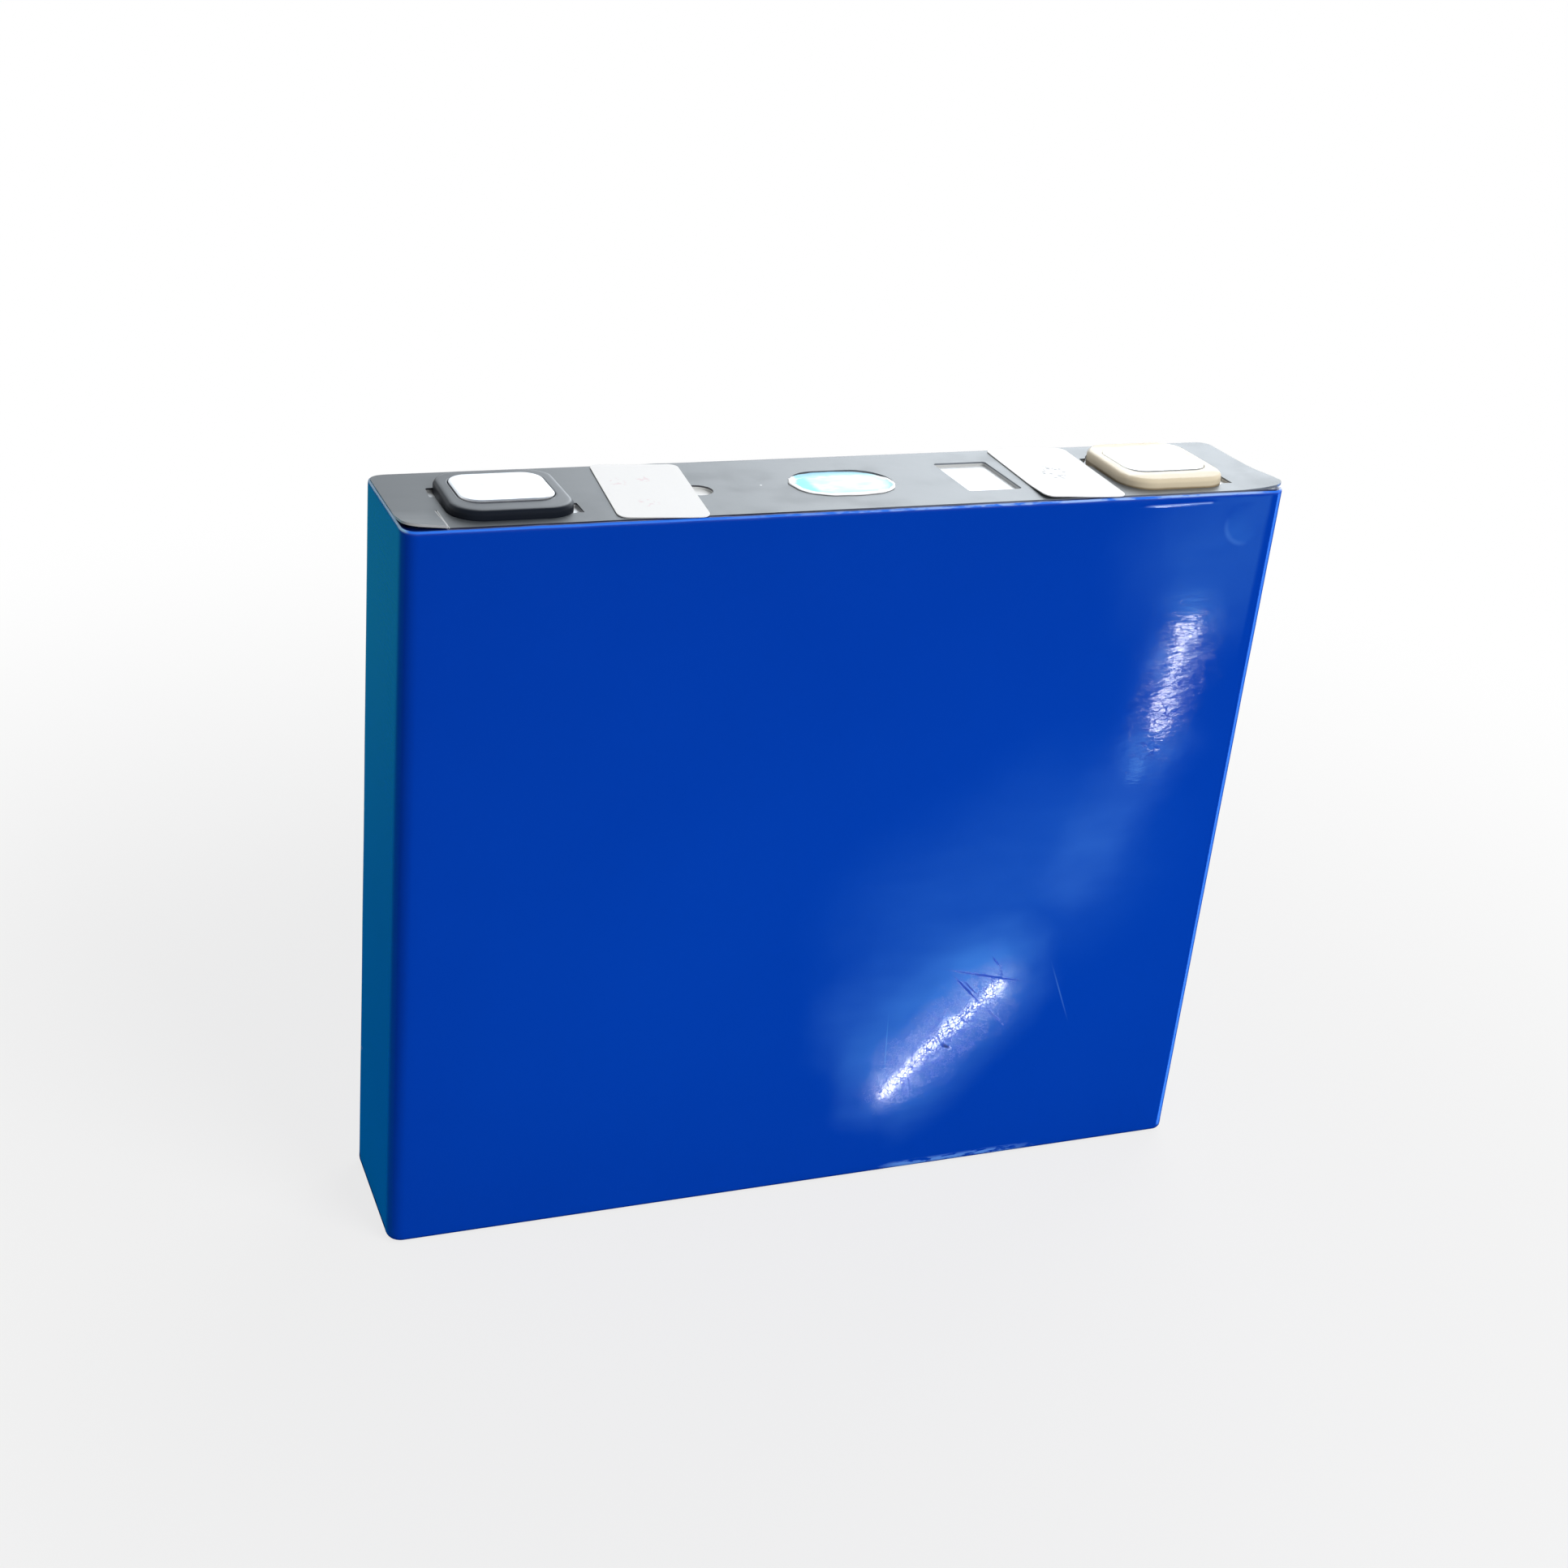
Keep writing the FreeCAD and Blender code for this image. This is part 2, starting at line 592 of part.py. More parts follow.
def spin(body, profile):
    """A full turn of a profile about the body's upright axis."""
    feature = body.newObject("PartDesign::Revolution", f"{body.Name}_revolution")
    feature.Profile = profile
    feature.ReferenceAxis = (profile, ["V_Axis"])
    feature.Angle = 360


def make_insulator(pole, inward_turn):
    """The plastic plate under one half of the lid, with a skirt along its front and back edges.

    Its own +X points to the middle of the cell."""
    length = f"({CAVITY_WIDTH} / 2 - insulator_end_gap - grille_width / 2 - insulator_middle_gap)"
    middle = f"(grille_width / 2 + insulator_middle_gap + {length} / 2)"
    depth = f"({CAVITY_DEPTH} - 2 * insulator_side_gap)"
    outward = "-" if inward_turn == "0" else ""
    body = plate(f"{pole}_insulator",
                 lambda sketch: rounded_rectangle(sketch, length, depth, "insulator_radius"),
                 "insulator_thickness", x=f"{outward}{middle}", z=INSULATOR_BASE, turn=inward_turn)
    for side in ("-", ""):
        skirt = add_sketch(body, y=f"{side}({depth} / 2 - insulator_skirt_wall / 2)")
        rounded_rectangle(skirt, f"({length} - 2 * insulator_radius)", "insulator_skirt_wall",
                          "(insulator_skirt_wall / 4)")
        pad(body, skirt, "insulator_skirt_height", down=True)
    around_seal = add_sketch(body, x=f"({middle} - {TERMINAL_OFFSET})", z="insulator_thickness")
    circle(around_seal, "(seal_flange_diameter + 2 * seal_gap)")
    pocket(body, around_seal, "insulator_thickness")
    if pole == "negative":
        port = add_sketch(body, x=f"({middle} - fill_offset)", z="insulator_thickness")
        circle(port, "insulator_port_diameter")
        pocket(body, port, "insulator_thickness")


def make_collector(pole, offset, inward_turn):
    """The plate welded under the rivet's disc, on which the foil tabs are welded.

    Its own origin is on the rivet's axis and its +X points to the middle of the cell."""
    body = add_body(f"{pole}_collector", x=offset, z=COLLECTOR_BASE, turn=inward_turn)
    tongue = add_sketch(body, x="((collector_inner_reach - collector_outer_reach) / 2)")
    rounded_rectangle(tongue, "(collector_inner_reach + collector_outer_reach)", COLLECTOR_DEPTH,
                      "collector_radius")
    pad(body, tongue, "collector_thickness")
    if pole == "positive":
        fuse = add_sketch(body, x="fuse_slot_offset", z="collector_thickness")
        rounded_rectangle(fuse, "fuse_slot_width", "fuse_slot_length", "(fuse_slot_width / 4)")
        pocket(body, fuse, "collector_thickness")


def make_tabs(pole, offset, side, sign):
    """One roll's stack of foil tabs: it rises from the roll and bends inwards under the collector."""
    inward = "+" if pole == "negative" else "-"
    body = add_body(f"{pole}_tabs_{side}", x=f"({offset} {inward} tab_offset)", z=ROLL_TOP)
    profile = add_sketch(body, role="YZ_Plane", z="-(tab_width / 2)")
    under = "(tab_rise - tab_thickness)"
    outer, inner, tip = (f"{sign}{reach}" for reach in
                         (TAB_REACH, f"({TAB_REACH} - tab_thickness)", "(tab_middle_gap / 2)"))
    polygon(profile, (outer, "0"), (outer, "tab_rise"), (tip, "tab_rise"), (tip, under), (inner, under),
            (inner, "0"))
    pad(body, profile, "tab_width")
    for radius, height, reach in (("(tab_bend_radius + tab_thickness)", "tab_rise", outer),
                                  ("tab_bend_radius", under, inner)):
        round_edges(body, radius, crosswise_edges(reach, height))


def crosswise_edges(y, z):
    """Picks the edges along X at one place of the body's own YZ plane."""
    across, level = value(y), value(z)
    return lambda box: (box.YLength < TINY and box.ZLength < TINY
                        and abs(box.YMin - across) < TINY and abs(box.ZMin - level) < TINY)


# ---------------------------------------------------------------- rolls

def make_roll(side, sign):
    """One flat wound roll of electrodes, with the narrow slit at its core and its closing tape."""
    centre = f"{sign}({ROLL_SIDE} - {ROLL_THICKNESS} / 2)"
    body = plate(f"roll_{side}", lambda sketch: stadium(sketch, ROLL_WIDTH, ROLL_THICKNESS),
                 ROLL_HEIGHT, y=centre, z=ROLL_BASE)
    core = add_sketch(body, z=ROLL_HEIGHT)
    stadium(core, f"({ROLL_WIDTH} - {ROLL_THICKNESS})", "roll_slit")
    pocket(body, core, ROLL_HEIGHT)

    tape = doc.addObject("Part::Box", f"closing_tape_{side}")
    bind(tape, "Length", "closing_tape_width")
    bind(tape, "Width", "closing_tape_thickness")
    bind(tape, "Height", CLOSING_TAPE_HEIGHT)
    near = f"-({ROLL_SIDE} + closing_tape_thickness)" if sign else ROLL_SIDE
    place(tape, x="-(closing_tape_width / 2)", y=near, z=f"({ROLL_BASE} + closing_tape_margin)")
    pieces.append(tape)


def make_bag_and_tray():
    """The insulating bag that lines the can, and the slotted tray that the rolls stand on."""
    bag = plate("roll_bag", lambda sketch: rounded_rectangle(sketch, BAG_WIDTH, BAG_DEPTH, BAG_CORNER),
                BAG_HEIGHT, z=CAVITY_FLOOR)
    inside = add_sketch(bag, z=BAG_HEIGHT)
    rounded_rectangle(inside, f"({BAG_WIDTH} - 2 * bag_wall)", f"({BAG_DEPTH} - 2 * bag_wall)",
                      f"({BAG_CORNER} - bag_wall)")
    pocket(bag, inside, f"({BAG_HEIGHT} - bag_wall)")

    around = "2 * (bag_wall + tray_gap)"
    tray = plate("bottom_tray",
                 lambda sketch: rounded_rectangle(sketch, f"({BAG_WIDTH} - {around})",
                                                  f"({BAG_DEPTH} - {around})", f"({BAG_CORNER} - bag_wall)"),
                 "tray_thickness", z=BAG_FLOOR)
    slot = add_sketch(tray, x="-(tray_slot_pitch * (tray_slot_count - 1) / 2)", z="tray_thickness")
    rounded_rectangle(slot, "tray_slot_length", "tray_slot_width", "(tray_slot_width / 3)")
    cut = pocket(tray, slot, "tray_thickness")
    repeat(tray, cut, "X_Axis", "tray_slot_pitch", "tray_slot_count")


make_wrap_film()
make_can()
make_lid()
make_vent()
make_fill_port()
make_top_sheet()
make_label("label_left", f"(label_left_distance - {TERMINAL_OFFSET})", "-label_left_turn")
make_label("label_right", f"({TERMINAL_OFFSET} - label_right_distance)", "-label_right_turn")
make_terminal("negative", f"-{TERMINAL_OFFSET}", "0")
make_terminal("positive", TERMINAL_OFFSET, "180")
make_roll("front", "-")
make_roll("back", "")
make_bag_and_tray()
doc.recompute()

for item in doc.Objects:
    if "Invalid" in item.State or "Error" in item.State:
        raise ValueError(f"{item.Name} failed: {item.State}")
for piece in pieces:
    if piece.Shape.isNull() or not piece.Shape.isValid() or len(piece.Shape.Solids) != 1:
        raise ValueError(f"{piece.Label} is not one valid solid")

os.makedirs("parts", exist_ok=True)
for piece in pieces:
    piece.Shape.exportStep(os.path.join("parts", f"{piece.Label}.step"))
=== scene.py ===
"""Dresses the wrapped aluminium-can battery cell: film, top sheet, stickers, vent cover and terminals."""

import functools
import json
import math

import bmesh
import bpy
from mathutils import Matrix, Quaternion, Vector, noise


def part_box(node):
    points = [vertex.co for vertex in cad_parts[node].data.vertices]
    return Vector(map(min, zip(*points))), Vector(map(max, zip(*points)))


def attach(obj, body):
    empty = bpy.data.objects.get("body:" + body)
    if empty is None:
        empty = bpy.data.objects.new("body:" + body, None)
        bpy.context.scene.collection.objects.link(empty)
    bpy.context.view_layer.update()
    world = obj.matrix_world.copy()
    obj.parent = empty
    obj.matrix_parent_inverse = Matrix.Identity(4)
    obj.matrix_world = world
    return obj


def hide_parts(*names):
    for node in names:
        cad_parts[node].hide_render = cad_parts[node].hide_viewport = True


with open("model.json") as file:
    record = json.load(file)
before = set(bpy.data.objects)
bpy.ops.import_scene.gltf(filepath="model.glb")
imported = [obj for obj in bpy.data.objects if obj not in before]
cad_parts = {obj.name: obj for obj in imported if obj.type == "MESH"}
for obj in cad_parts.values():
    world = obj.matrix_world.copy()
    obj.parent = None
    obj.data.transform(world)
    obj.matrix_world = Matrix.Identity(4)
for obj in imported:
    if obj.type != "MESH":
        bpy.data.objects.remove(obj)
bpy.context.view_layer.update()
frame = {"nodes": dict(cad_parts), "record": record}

MM = 0.001
nodes = frame["nodes"]


# Lengths below are millimetres in the frame of the cell: X along its width, Y through its
# thickness with the front at the low side, Z up to the terminals.

# The film: the radii of its upright edges, base and rim, the width of its fold over the lid, its
# wall, how far its rim rises, how fine its mesh is, and the middle of its bubble in X and Z.
WRAP_CORNER = 2.6
WRAP_BASE_EDGE = 1.0
WRAP_TOP_EDGE = 0.55
WRAP_FOLD = 2.4
WRAP_WALL = 0.2
WRAP_RISE = 0.34
WRAP_GRID = 1.15
BUBBLE = (66.9, 120.5)

# The crease under the film's right rim: a point that it passes, and its slope.
CREASE_X = 53.0
CREASE_Z = 124.3
CREASE_SLOPE = 0.012

# The slit that frees the sheet's front left corner.
SLIT_X = -67.2
SLIT_END_Y = -4.7
SLIT_WIDTH = 0.16

# How far the real surrounds, and the openings round them, stand back from even rounded blocks:
# at their back, at their back left corner and at their right side.
SURROUND_FIT = {"negative": (1.3, 0.5, 0.0), "positive": (1.1, 0.6, 0.6)}

# An opening round a surround: half its width without its notches, and half the box that holds both.
OPENING_HALF = 10.2
OPENING_REACH = (11.6, 11.2)

# Each notch in an opening's side: how far it sits from its even place along Y, and its depth's share.
NOTCH_FIT = {"negative": ((-1.5, 0.62), (-1.5, 0.5)), "positive": ((-0.2, 0.5), (-2.0, 0.5))}

# The fill hole in the sheet: a radius that holds it, its share of the even size, and how far it
# sits off its place.
FILL_HOLE_REACH = 3.0
FILL_HOLE_SHARE = 0.93
FILL_HOLE_SHIFT = (-0.1, -0.95)

# How far the sheet's left edge stands out from its even place.
LEFT_EDGE_SHIFT = 0.75

# The stickers: their size, how far they lap down at the front, and their corner radius.
STICKER_SIZE = (14.3, 24.6)
STICKER_LAP = 0.45
STICKER_CORNER = 1.6

# The vent: half the sheet's opening, and the cover's middle, half size, height, wall and the power
# that makes its oval full.
VENT_OPENING = (8.6, 5.7)
VENT_COVER_MIDDLE = (-0.35, -0.64)
VENT_COVER_HALF = (8.70, 6.02)
VENT_COVER_Z = 125.90
VENT_COVER_WALL = 0.08
VENT_COVER_POWER = 2.5

# The terminals: corner radii, the pads' softened edge and the surrounds' softened pocket rim.
FRAME_CORNER = 5.0
PAD_CORNER = 3.2
PAD_EDGE = 0.28
POCKET_EDGE = 0.18

# Worn places on the front face, along a line: its two ends in X and Z, and its half width.
RUBBED_PATCH = ((3.0, 6.0), (43.0, 46.0), 13.0)
CRUMPLED_PATCH = ((62.5, 112.0), (54.0, 68.0), 9.0)
PIT = ((24.4, 25.7), (26.5, 24.5), 0.55)

# Thin lines there, with a strength each.
SCRATCHES = (
    ((20.5, 41.8), (42.3, 35.8), 0.40, 0.35), ((24.6, 40.0), (31.1, 33.2), 0.32, 0.55),
    ((31.1, 33.2), (37.5, 27.0), 0.30, 0.30), ((26.6, 38.9), (31.0, 34.2), 0.24, 0.45),
    ((31.8, 42.9), (34.2, 40.0), 0.26, 0.40),
)
SCORES = (
    ((44.0, 40.0), (49.4, 27.0), 0.16, 1.0), ((13.4, 33.4), (14.1, 19.5), 0.12, 1.0),
    ((12.1, 28.4), (12.2, 23.0), 0.12, 1.0),
)
SCUFFS = (((44.0, 40.0), (49.4, 27.0), 0.20, 1.0), ((13.4, 33.4), (14.1, 19.5), 0.16, 1.0))

# Soft patches of light on the front card. Each has the two ends of its line, as X and Z of the
# place on the front face that shows it, its solid and faded half widths, and its colour.
SOFT_PATCHES = (
    ((-30.0, 40.0), (40.0, 50.0), 0.0, 105.0, (0.0, 0.20, 1.25)),
    ((17.0, 21.0), (32.0, 37.0), 1.0, 16.0, (0.72, 2.4, 4.2)),
    ((9.0, 32.0), (26.0, 40.0), 0.0, 14.0, (0.28, 1.0, 1.9)),
    ((20.0, 50.0), (42.0, 62.0), 0.0, 28.0, (0.18, 0.75, 1.5)),
    ((59.5, 103.0), (56.0, 82.0), 1.0, 9.5, (0.5, 1.4, 2.4)),
    ((57.0, 80.0), (46.0, 58.0), 1.0, 11.0, (0.22, 0.6, 1.1)),
    ((62.0, 114.0), (74.0, 124.0), 2.0, 22.0, (0.28, 0.95, 1.55)),
)

# The light of the two streaks, with the same ends and half widths: haze, and brighter cores.
LOW_HAZE = ((15.0, 18.5), (34.5, 37.5), 0.6, 6.4)
LOW_CORES = (((14.3, 16.8), (22.7, 26.0), 0.75, 1.5), ((22.7, 26.0), (34.4, 36.6), 0.6, 1.3))
HIGH_HAZE = ((61.4, 99.5), (60.2, 90.0), 0.8, 2.8)
HIGH_WISPS = ((55.8, 99.5), (54.9, 93.0), 0.4, 2.4)
FAINT_LINES = (
    ((59.8, 104.4), (63.0, 104.6), 0.1, 0.6), ((57.4, 106.3), (62.0, 106.2), 0.1, 0.8),
    ((54.5, 79.0), (53.6, 76.6), 0.0, 2.0),
)
HIGH_CORES = (
    ((57.8, 102.0), (62.0, 102.2), 0.55, 1.0), ((58.5, 100.0), (58.8, 95.0), 0.4, 0.9),
    ((58.8, 95.0), (57.3, 89.0), 0.35, 0.9), ((57.3, 89.0), (56.5, 86.0), 0.7, 1.4),
    ((55.6, 84.5), (57.2, 84.6), 0.15, 0.6), ((59.4, 89.4), (60.3, 89.5), 0.1, 0.5),
)

# Colours of the film, of the highlights and shade painted on its folds, of the dark round the cell and of
# plain light.
FILM_BLUE = (0.0006, 0.044, 0.430)
FILM_PALER_BLUE = (0.0012, 0.050, 0.465)
FOLD_HIGHLIGHT_AZURE = (0.020, 0.190, 0.90)
FOLD_HIGHLIGHT_PALE = (0.40, 0.60, 1.0)
FOLD_SIDE_HIGHLIGHT = (0.34, 0.66, 1.0)
FOLD_PAINTED_SHADE = (0.0, 0.010, 0.110)
DARK_ROOM = (0.0, 0.004, 0.012)
WHITE_LIGHT = (1.0, 1.0, 1.0)

# The floor and the cards on it, in metres: their heights, the higher one showing, and where the
# cards end at the cell's sides and front.
FLOOR_Z = -0.0006
DARK_CARD_Z = -0.0005
SIDE_CARD_Z = -0.0004
FRONT_CARD_Z = -0.0003
LEFT_SEAM_X = -0.0745
RIGHT_SEAM_X = 0.0746
FRONT_SEAM_Y = -0.0138

# The rays that see the studio's white as it is.
SEEING_RAYS = ("Is Camera Ray", "Is Glossy Ray", "Is Transmission Ray")

# The camera: its place in metres, its angles in degrees, its lens in millimetres and its shift.
# Then the level of the world's light.
CAMERA_PLACE = Vector((-0.1432, -0.3104, 0.2354))
CAMERA_TURN = 20.13
CAMERA_TILT = 25.07
CAMERA_ROLL = 4.11
CAMERA_LENS = 51.32
CAMERA_SHIFT = (0.0867, -0.0191)
WORLD_LEVEL = 0.3


@functools.cache
def node_box(name):
    """Gives the lowest and highest corners of a CAD node, in millimetres."""
    low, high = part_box(name)
    return low / MM, high / MM


def node_middle(name):
    """Gives the middle of a CAD node, in millimetres."""
    low, high = node_box(name)
    return (low + high) / 2


# ---------------------------------------------------------------- mesh helpers

def block(low, high):
    """Starts a mesh as a plain block between two corners."""
    bm = bmesh.new()
    size = Vector(high) - Vector(low)
    middle = (Vector(high) + Vector(low)) / 2
    bmesh.ops.create_cube(bm, size=1.0)
    bmesh.ops.scale(bm, vec=size, verts=bm.verts)
    bmesh.ops.translate(bm, vec=middle, verts=bm.verts)
    return bm


def span(edge, axis):
    """Gives how far an edge runs along one axis."""
    return abs(edge.verts[0].co[axis] - edge.verts[1].co[axis])


def upright_edges(bm):
    """Finds the edges that run straight up."""
    return [e for e in bm.edges if span(e, 2) > 1e-4 and span(e, 0) + span(e, 1) < 1e-4]


def edges_at(bm, height):
    """Finds the edges that lie at one height."""
    return [e for e in bm.edges if all(abs(v.co.z - height) < 1e-4 for v in e.verts)]


def round_edges(bm, edges, radius, segments):
    """Rounds edges to a radius."""
    bmesh.ops.bevel(
        bm, geom=edges, offset=radius, offset_type="OFFSET", affect="EDGES",
        segments=segments, profile=0.5, material=-1, clamp_overlap=True,
    )


def top_face(bm):
    """Finds the largest face that looks straight up."""
    bm.normal_update()
    return max((f for f in bm.faces if f.normal.z > 0.99), key=lambda f: f.calc_area())


def cut_long_edges(bm, axis, shortest, spacing):
    """Divides the long edges along one axis, so that the faces between them become strips."""
    runs = [e for e in bm.edges if span(e, axis) > shortest]
    cuts = round(max(span(e, axis) for e in runs) / spacing) - 1
    bmesh.ops.subdivide_edges(bm, edges=runs, cuts=cuts, use_grid_fill=True)


def cut_planes(bm, axis, places):
    """Cuts the whole mesh by planes square to one axis."""
    normal = Vector((0, 0, 0))
    normal[axis] = 1
    for place in places:
        everything = bm.verts[:] + bm.edges[:] + bm.faces[:]
        bmesh.ops.bisect_plane(bm, geom=everything, dist=1e-5, plane_co=normal * place, plane_no=normal)


def spaced(start, end, spacing):
    """Gives evenly spaced places from start to end."""
    count = max(1, round((end - start) / spacing))
    return [start + (end - start) * n / count for n in range(count + 1)]


def cut_grid(bm, low, high, margin, spacing):
    """Cuts a flat piece into a grid that keeps a margin inside its edges."""
    for axis in (0, 1):
        cut_planes(bm, axis, spaced(low[axis] + margin, high[axis] - margin, spacing))


def piece_from(bm, name, finish, sharp=35):
    """Turns a mesh in millimetres into a finished piece on the root body."""
    bmesh.ops.scale(bm, vec=(MM, MM, MM), verts=bm.verts)
    mesh = bpy.data.meshes.new(name)
    bm.to_mesh(mesh)
    bm.free()
    mesh.shade_smooth()
    mesh.set_sharp_from_angle(angle=math.radians(sharp))
    mesh.materials.append(finish)
    piece = bpy.data.objects.new(name, mesh)
    bpy.context.scene.collection.objects.link(piece)
    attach(piece, "root")
    return piece


def add_wall(piece, thickness):
    """Gives an open surface a wall on its inner side."""
    wall = piece.modifiers.new("wall", "SOLIDIFY")
    wall.thickness = thickness * MM
    wall.offset = -1


def step(value, low, high):
    """Rises smoothly from 0 to 1 between two values."""
    t = min(1.0, max(0.0, (value - low) / (high - low)))
    return t * t * (3 - 2 * t)


def hump(value, middle, half):
    """Gives 1 at the middle, falling smoothly to 0 at half a width away."""
    return 1 - step(abs(value - middle), 0, half)


def wave(x, y, z, scale, seed):
    """Gives smooth noise from about -1 to 1, with bumps of about the given size."""
    return noise.noise(Vector((x / scale + seed * 7.3, y / scale - seed * 3.1, z / scale + seed)))


# ---------------------------------------------------------------- shader helpers

class Value:
    """A node's output. Sums on it add Math nodes."""

    def __init__(self, finish, socket):
        self.finish = finish
        self.socket = socket

    def __add__(self, other):
        return self.finish.maths("ADD", self, other)

    def __radd__(self, other):
        return self.finish.maths("ADD", other, self)

    def __sub__(self, other):
        return self.finish.maths("SUBTRACT", self, other)

    def __rsub__(self, other):
        return self.finish.maths("SUBTRACT", other, self)

    def __mul__(self, other):
        return self.finish.maths("MULTIPLY", self, other)

    def __rmul__(self, other):
        return self.finish.maths("MULTIPLY", other, self)

    def __truediv__(self, other):
        return self.finish.maths("DIVIDE", self, other)

    def __rtruediv__(self, other):
        return self.finish.maths("DIVIDE", other, self)

    def __pow__(self, other):
        return self.finish.maths("POWER", self, other)

    def __abs__(self):
        return self.finish.maths("ABSOLUTE", self)


class Finish:
    """One material being made: a Principled shader and the nodes that feed it."""

    def __init__(self, name):
        self.material = bpy.data.materials.new(name)
        self.material.use_nodes = True
        self.tree = self.material.node_tree
        self.shader = self.tree.nodes["Principled BSDF"]
        place = self.node("ShaderNodeTexCoord", output="Object")
        self.place = self.node(
            "ShaderNodeVectorMath", {"operation": "SCALE"}, {0: place, "Scale": 1 / MM}
        )
        self.x, self.y, self.z = self.parts(self.place)

    def node(self, kind, settings=None, sockets=None, output=0):
        """Adds a node: its settings first, then its values or links. Gives one of its outputs."""
        made = self.tree.nodes.new(kind)
        for key, setting in (settings or {}).items():
            setattr(made, key, setting)
        for key, value in (sockets or {}).items():
            self.feed(made.inputs[key], value)
        return Value(self, made.outputs[output])

    def feed(self, socket, value):
        """Links a value to a socket, or sets it there."""
        if isinstance(value, Value):
            self.tree.links.new(value.socket, socket)
        elif isinstance(value, tuple) and len(value) == 3 and socket.type == "RGBA":
            socket.default_value = (*value, 1)
        else:
            socket.default_value = value

    def parts(self, vector):
        """Splits a vector into its three numbers."""
        return tuple(
            self.node("ShaderNodeSeparateXYZ", sockets={0: vector}, output=axis) for axis in "XYZ"
        )

    def maths(self, operation, *values):
        """Adds one Math node."""
        return self.node("ShaderNodeMath", {"operation": operation}, dict(enumerate(values)))

    def rise(self, value, low, high, start=0.0, end=1.0):
        """Goes smoothly from start to end while a value goes from low to high."""
        return self.node(
            "ShaderNodeMapRange", {"interpolation_type": "SMOOTHSTEP"},
            {0: value, 1: low, 2: high, 3: start, 4: end},
        )

    def near(self, value, middle, half):
        """Gives 1 where a value is at the middle, falling smoothly to 0 half a width away."""
        return self.rise(abs(value - middle), 0.0, half, 1.0, 0.0)

    def blend(self, factor, first, second):
        """Mixes two colours."""
        return self.node("ShaderNodeMix", {"data_type": "RGBA"}, {0: factor, 6: first, 7: second}, output=2)

    def scaled(self, x, y, z, where=None, tilt=0.0):
        """Gives the place on the piece, or another, turned about Y and scaled along each axis."""
        return self.node(
            "ShaderNodeMapping", {"vector_type": "POINT"},
            {0: where or self.place, 2: (0.0, tilt, 0.0), 3: (x, y, z)},
        )

    def clouds(self, size, detail=2.0, rough=0.5, where=None):
        """Gives soft noise from 0 to 1, with spots of about a size."""
        return self.node(
            "ShaderNodeTexNoise", {"noise_dimensions": "3D"},
            {"Vector": where or self.place, "Scale": 1 / size, "Detail": detail, "Roughness": rough},
        )

    def bent(self, place):
        """Gives a place pushed about by noise, so that the edges of cells there wander."""
        drift = self.node("ShaderNodeTexNoise", sockets={"Vector": place, "Scale": 0.9}, output=1)
        return self.node(
            "ShaderNodeVectorMath", {"operation": "MULTIPLY_ADD"}, {0: drift, 1: (1.1,) * 3, 2: place}
        )

    def cells(self, size, where):
        """Gives the distance to the edges of cells of about a size."""
        return self.node(
            "ShaderNodeTexVoronoi", {"feature": "DISTANCE_TO_EDGE"}, {"Vector": where, "Scale": 1 / size}
        )

    def facing(self, kind="Normal"):
        """Gives how far the surface looks up, from -1 to 1."""
        return self.parts(self.node("ShaderNodeNewGeometry", output=kind))[2]

    def distance(self, x, y):
        """Gives how far a place lies from the middle."""
        return self.maths("SQRT", x * x + y * y)

    def set(self, **values):
        """Sets or links the shader's own sockets, named with underscores."""
        for key, value in values.items():
            self.feed(self.shader.inputs[key.replace("_", " ")], value)
        return self.material

    def bump(self, height):
        """Feeds a height in millimetres to the shader's normal."""
        sockets = {"Strength": 1.0, "Distance": MM, "Height": height}
        self.set(Normal=self.node("ShaderNodeBump", sockets=sockets))

    def glow(self, colour):
        """Gives a shader that only shines, in a colour or a linked pattern."""
        return self.node("ShaderNodeEmission", sockets={"Color": colour, "Strength": 1.0})

    def show(self, shader):
        """Makes a shader the one that the finish shows."""
        self.feed(self.tree.nodes["Material Output"].inputs["Surface"], shader)


# ---------------------------------------------------------------- finishes

def along_line(x, z, start, end):
    """Gives how far a place lies along a line, from its middle, and beside it, and half its length."""
    run = Vector(end) - Vector(start)
    middle = (Vector(end) + Vector(start)) / 2
    way = run.normalized()
    from_x, from_z = x - middle.x, z - middle.y
    along = from_x * way.x + from_z * way.y
    beside = from_z * way.x - from_x * way.y
    return along, beside, run.length / 2


def streak(f, start, end, half):
    """Gives 1 along a line on the front face, from start to end in X and Z, and 0 beyond half a width."""
    along, beside, reach = along_line(f.x, f.z, start, end)
    return f.near(along, 0.0, reach * 1.15) * f.near(beside, 0.0, half)


def streaks(f, lines):
    """Adds up some of the lines on the front face, each at its strength."""
    total = 0.0
    for start, end, half, strength in lines:
        total = total + streak(f, start, end, half) * strength
    return total


def crazing(f, where):
    """Fine cracks in rubbed film: a tight mesh of short ones and a loose net of longer ones, 0 to 1."""
    bent = f.bent(f.place)
    patchy = f.rise(f.clouds(1.3, 2.0), 0.30, 0.55, 0.35, 1.0)
    mesh = f.rise(f.cells(0.60, bent), 0.03, 0.13, 1.0, 0.0) * patchy
    net = f.rise(f.cells(3.0, bent), 0.008, 0.030, 1.0, 0.0)
    return f.maths("MAXIMUM", mesh * 0.8, net * 0.55) * where


def crumples(f, where):
    """Short sideways wrinkles, one above the other, where the film was squeezed: their height and lines."""
    broad = f.clouds(1.0, 2.0, 0.5, f.scaled(0.15, 1.0, 0.42))
    fine = f.clouds(1.0, 3.0, 0.6, f.scaled(0.45, 1.0, 1.5))
    lines = f.near(fine, 0.50, 0.026) + f.near(broad, 0.46, 0.014)
    return (broad * 0.028 + fine * 0.018) * where, lines * where


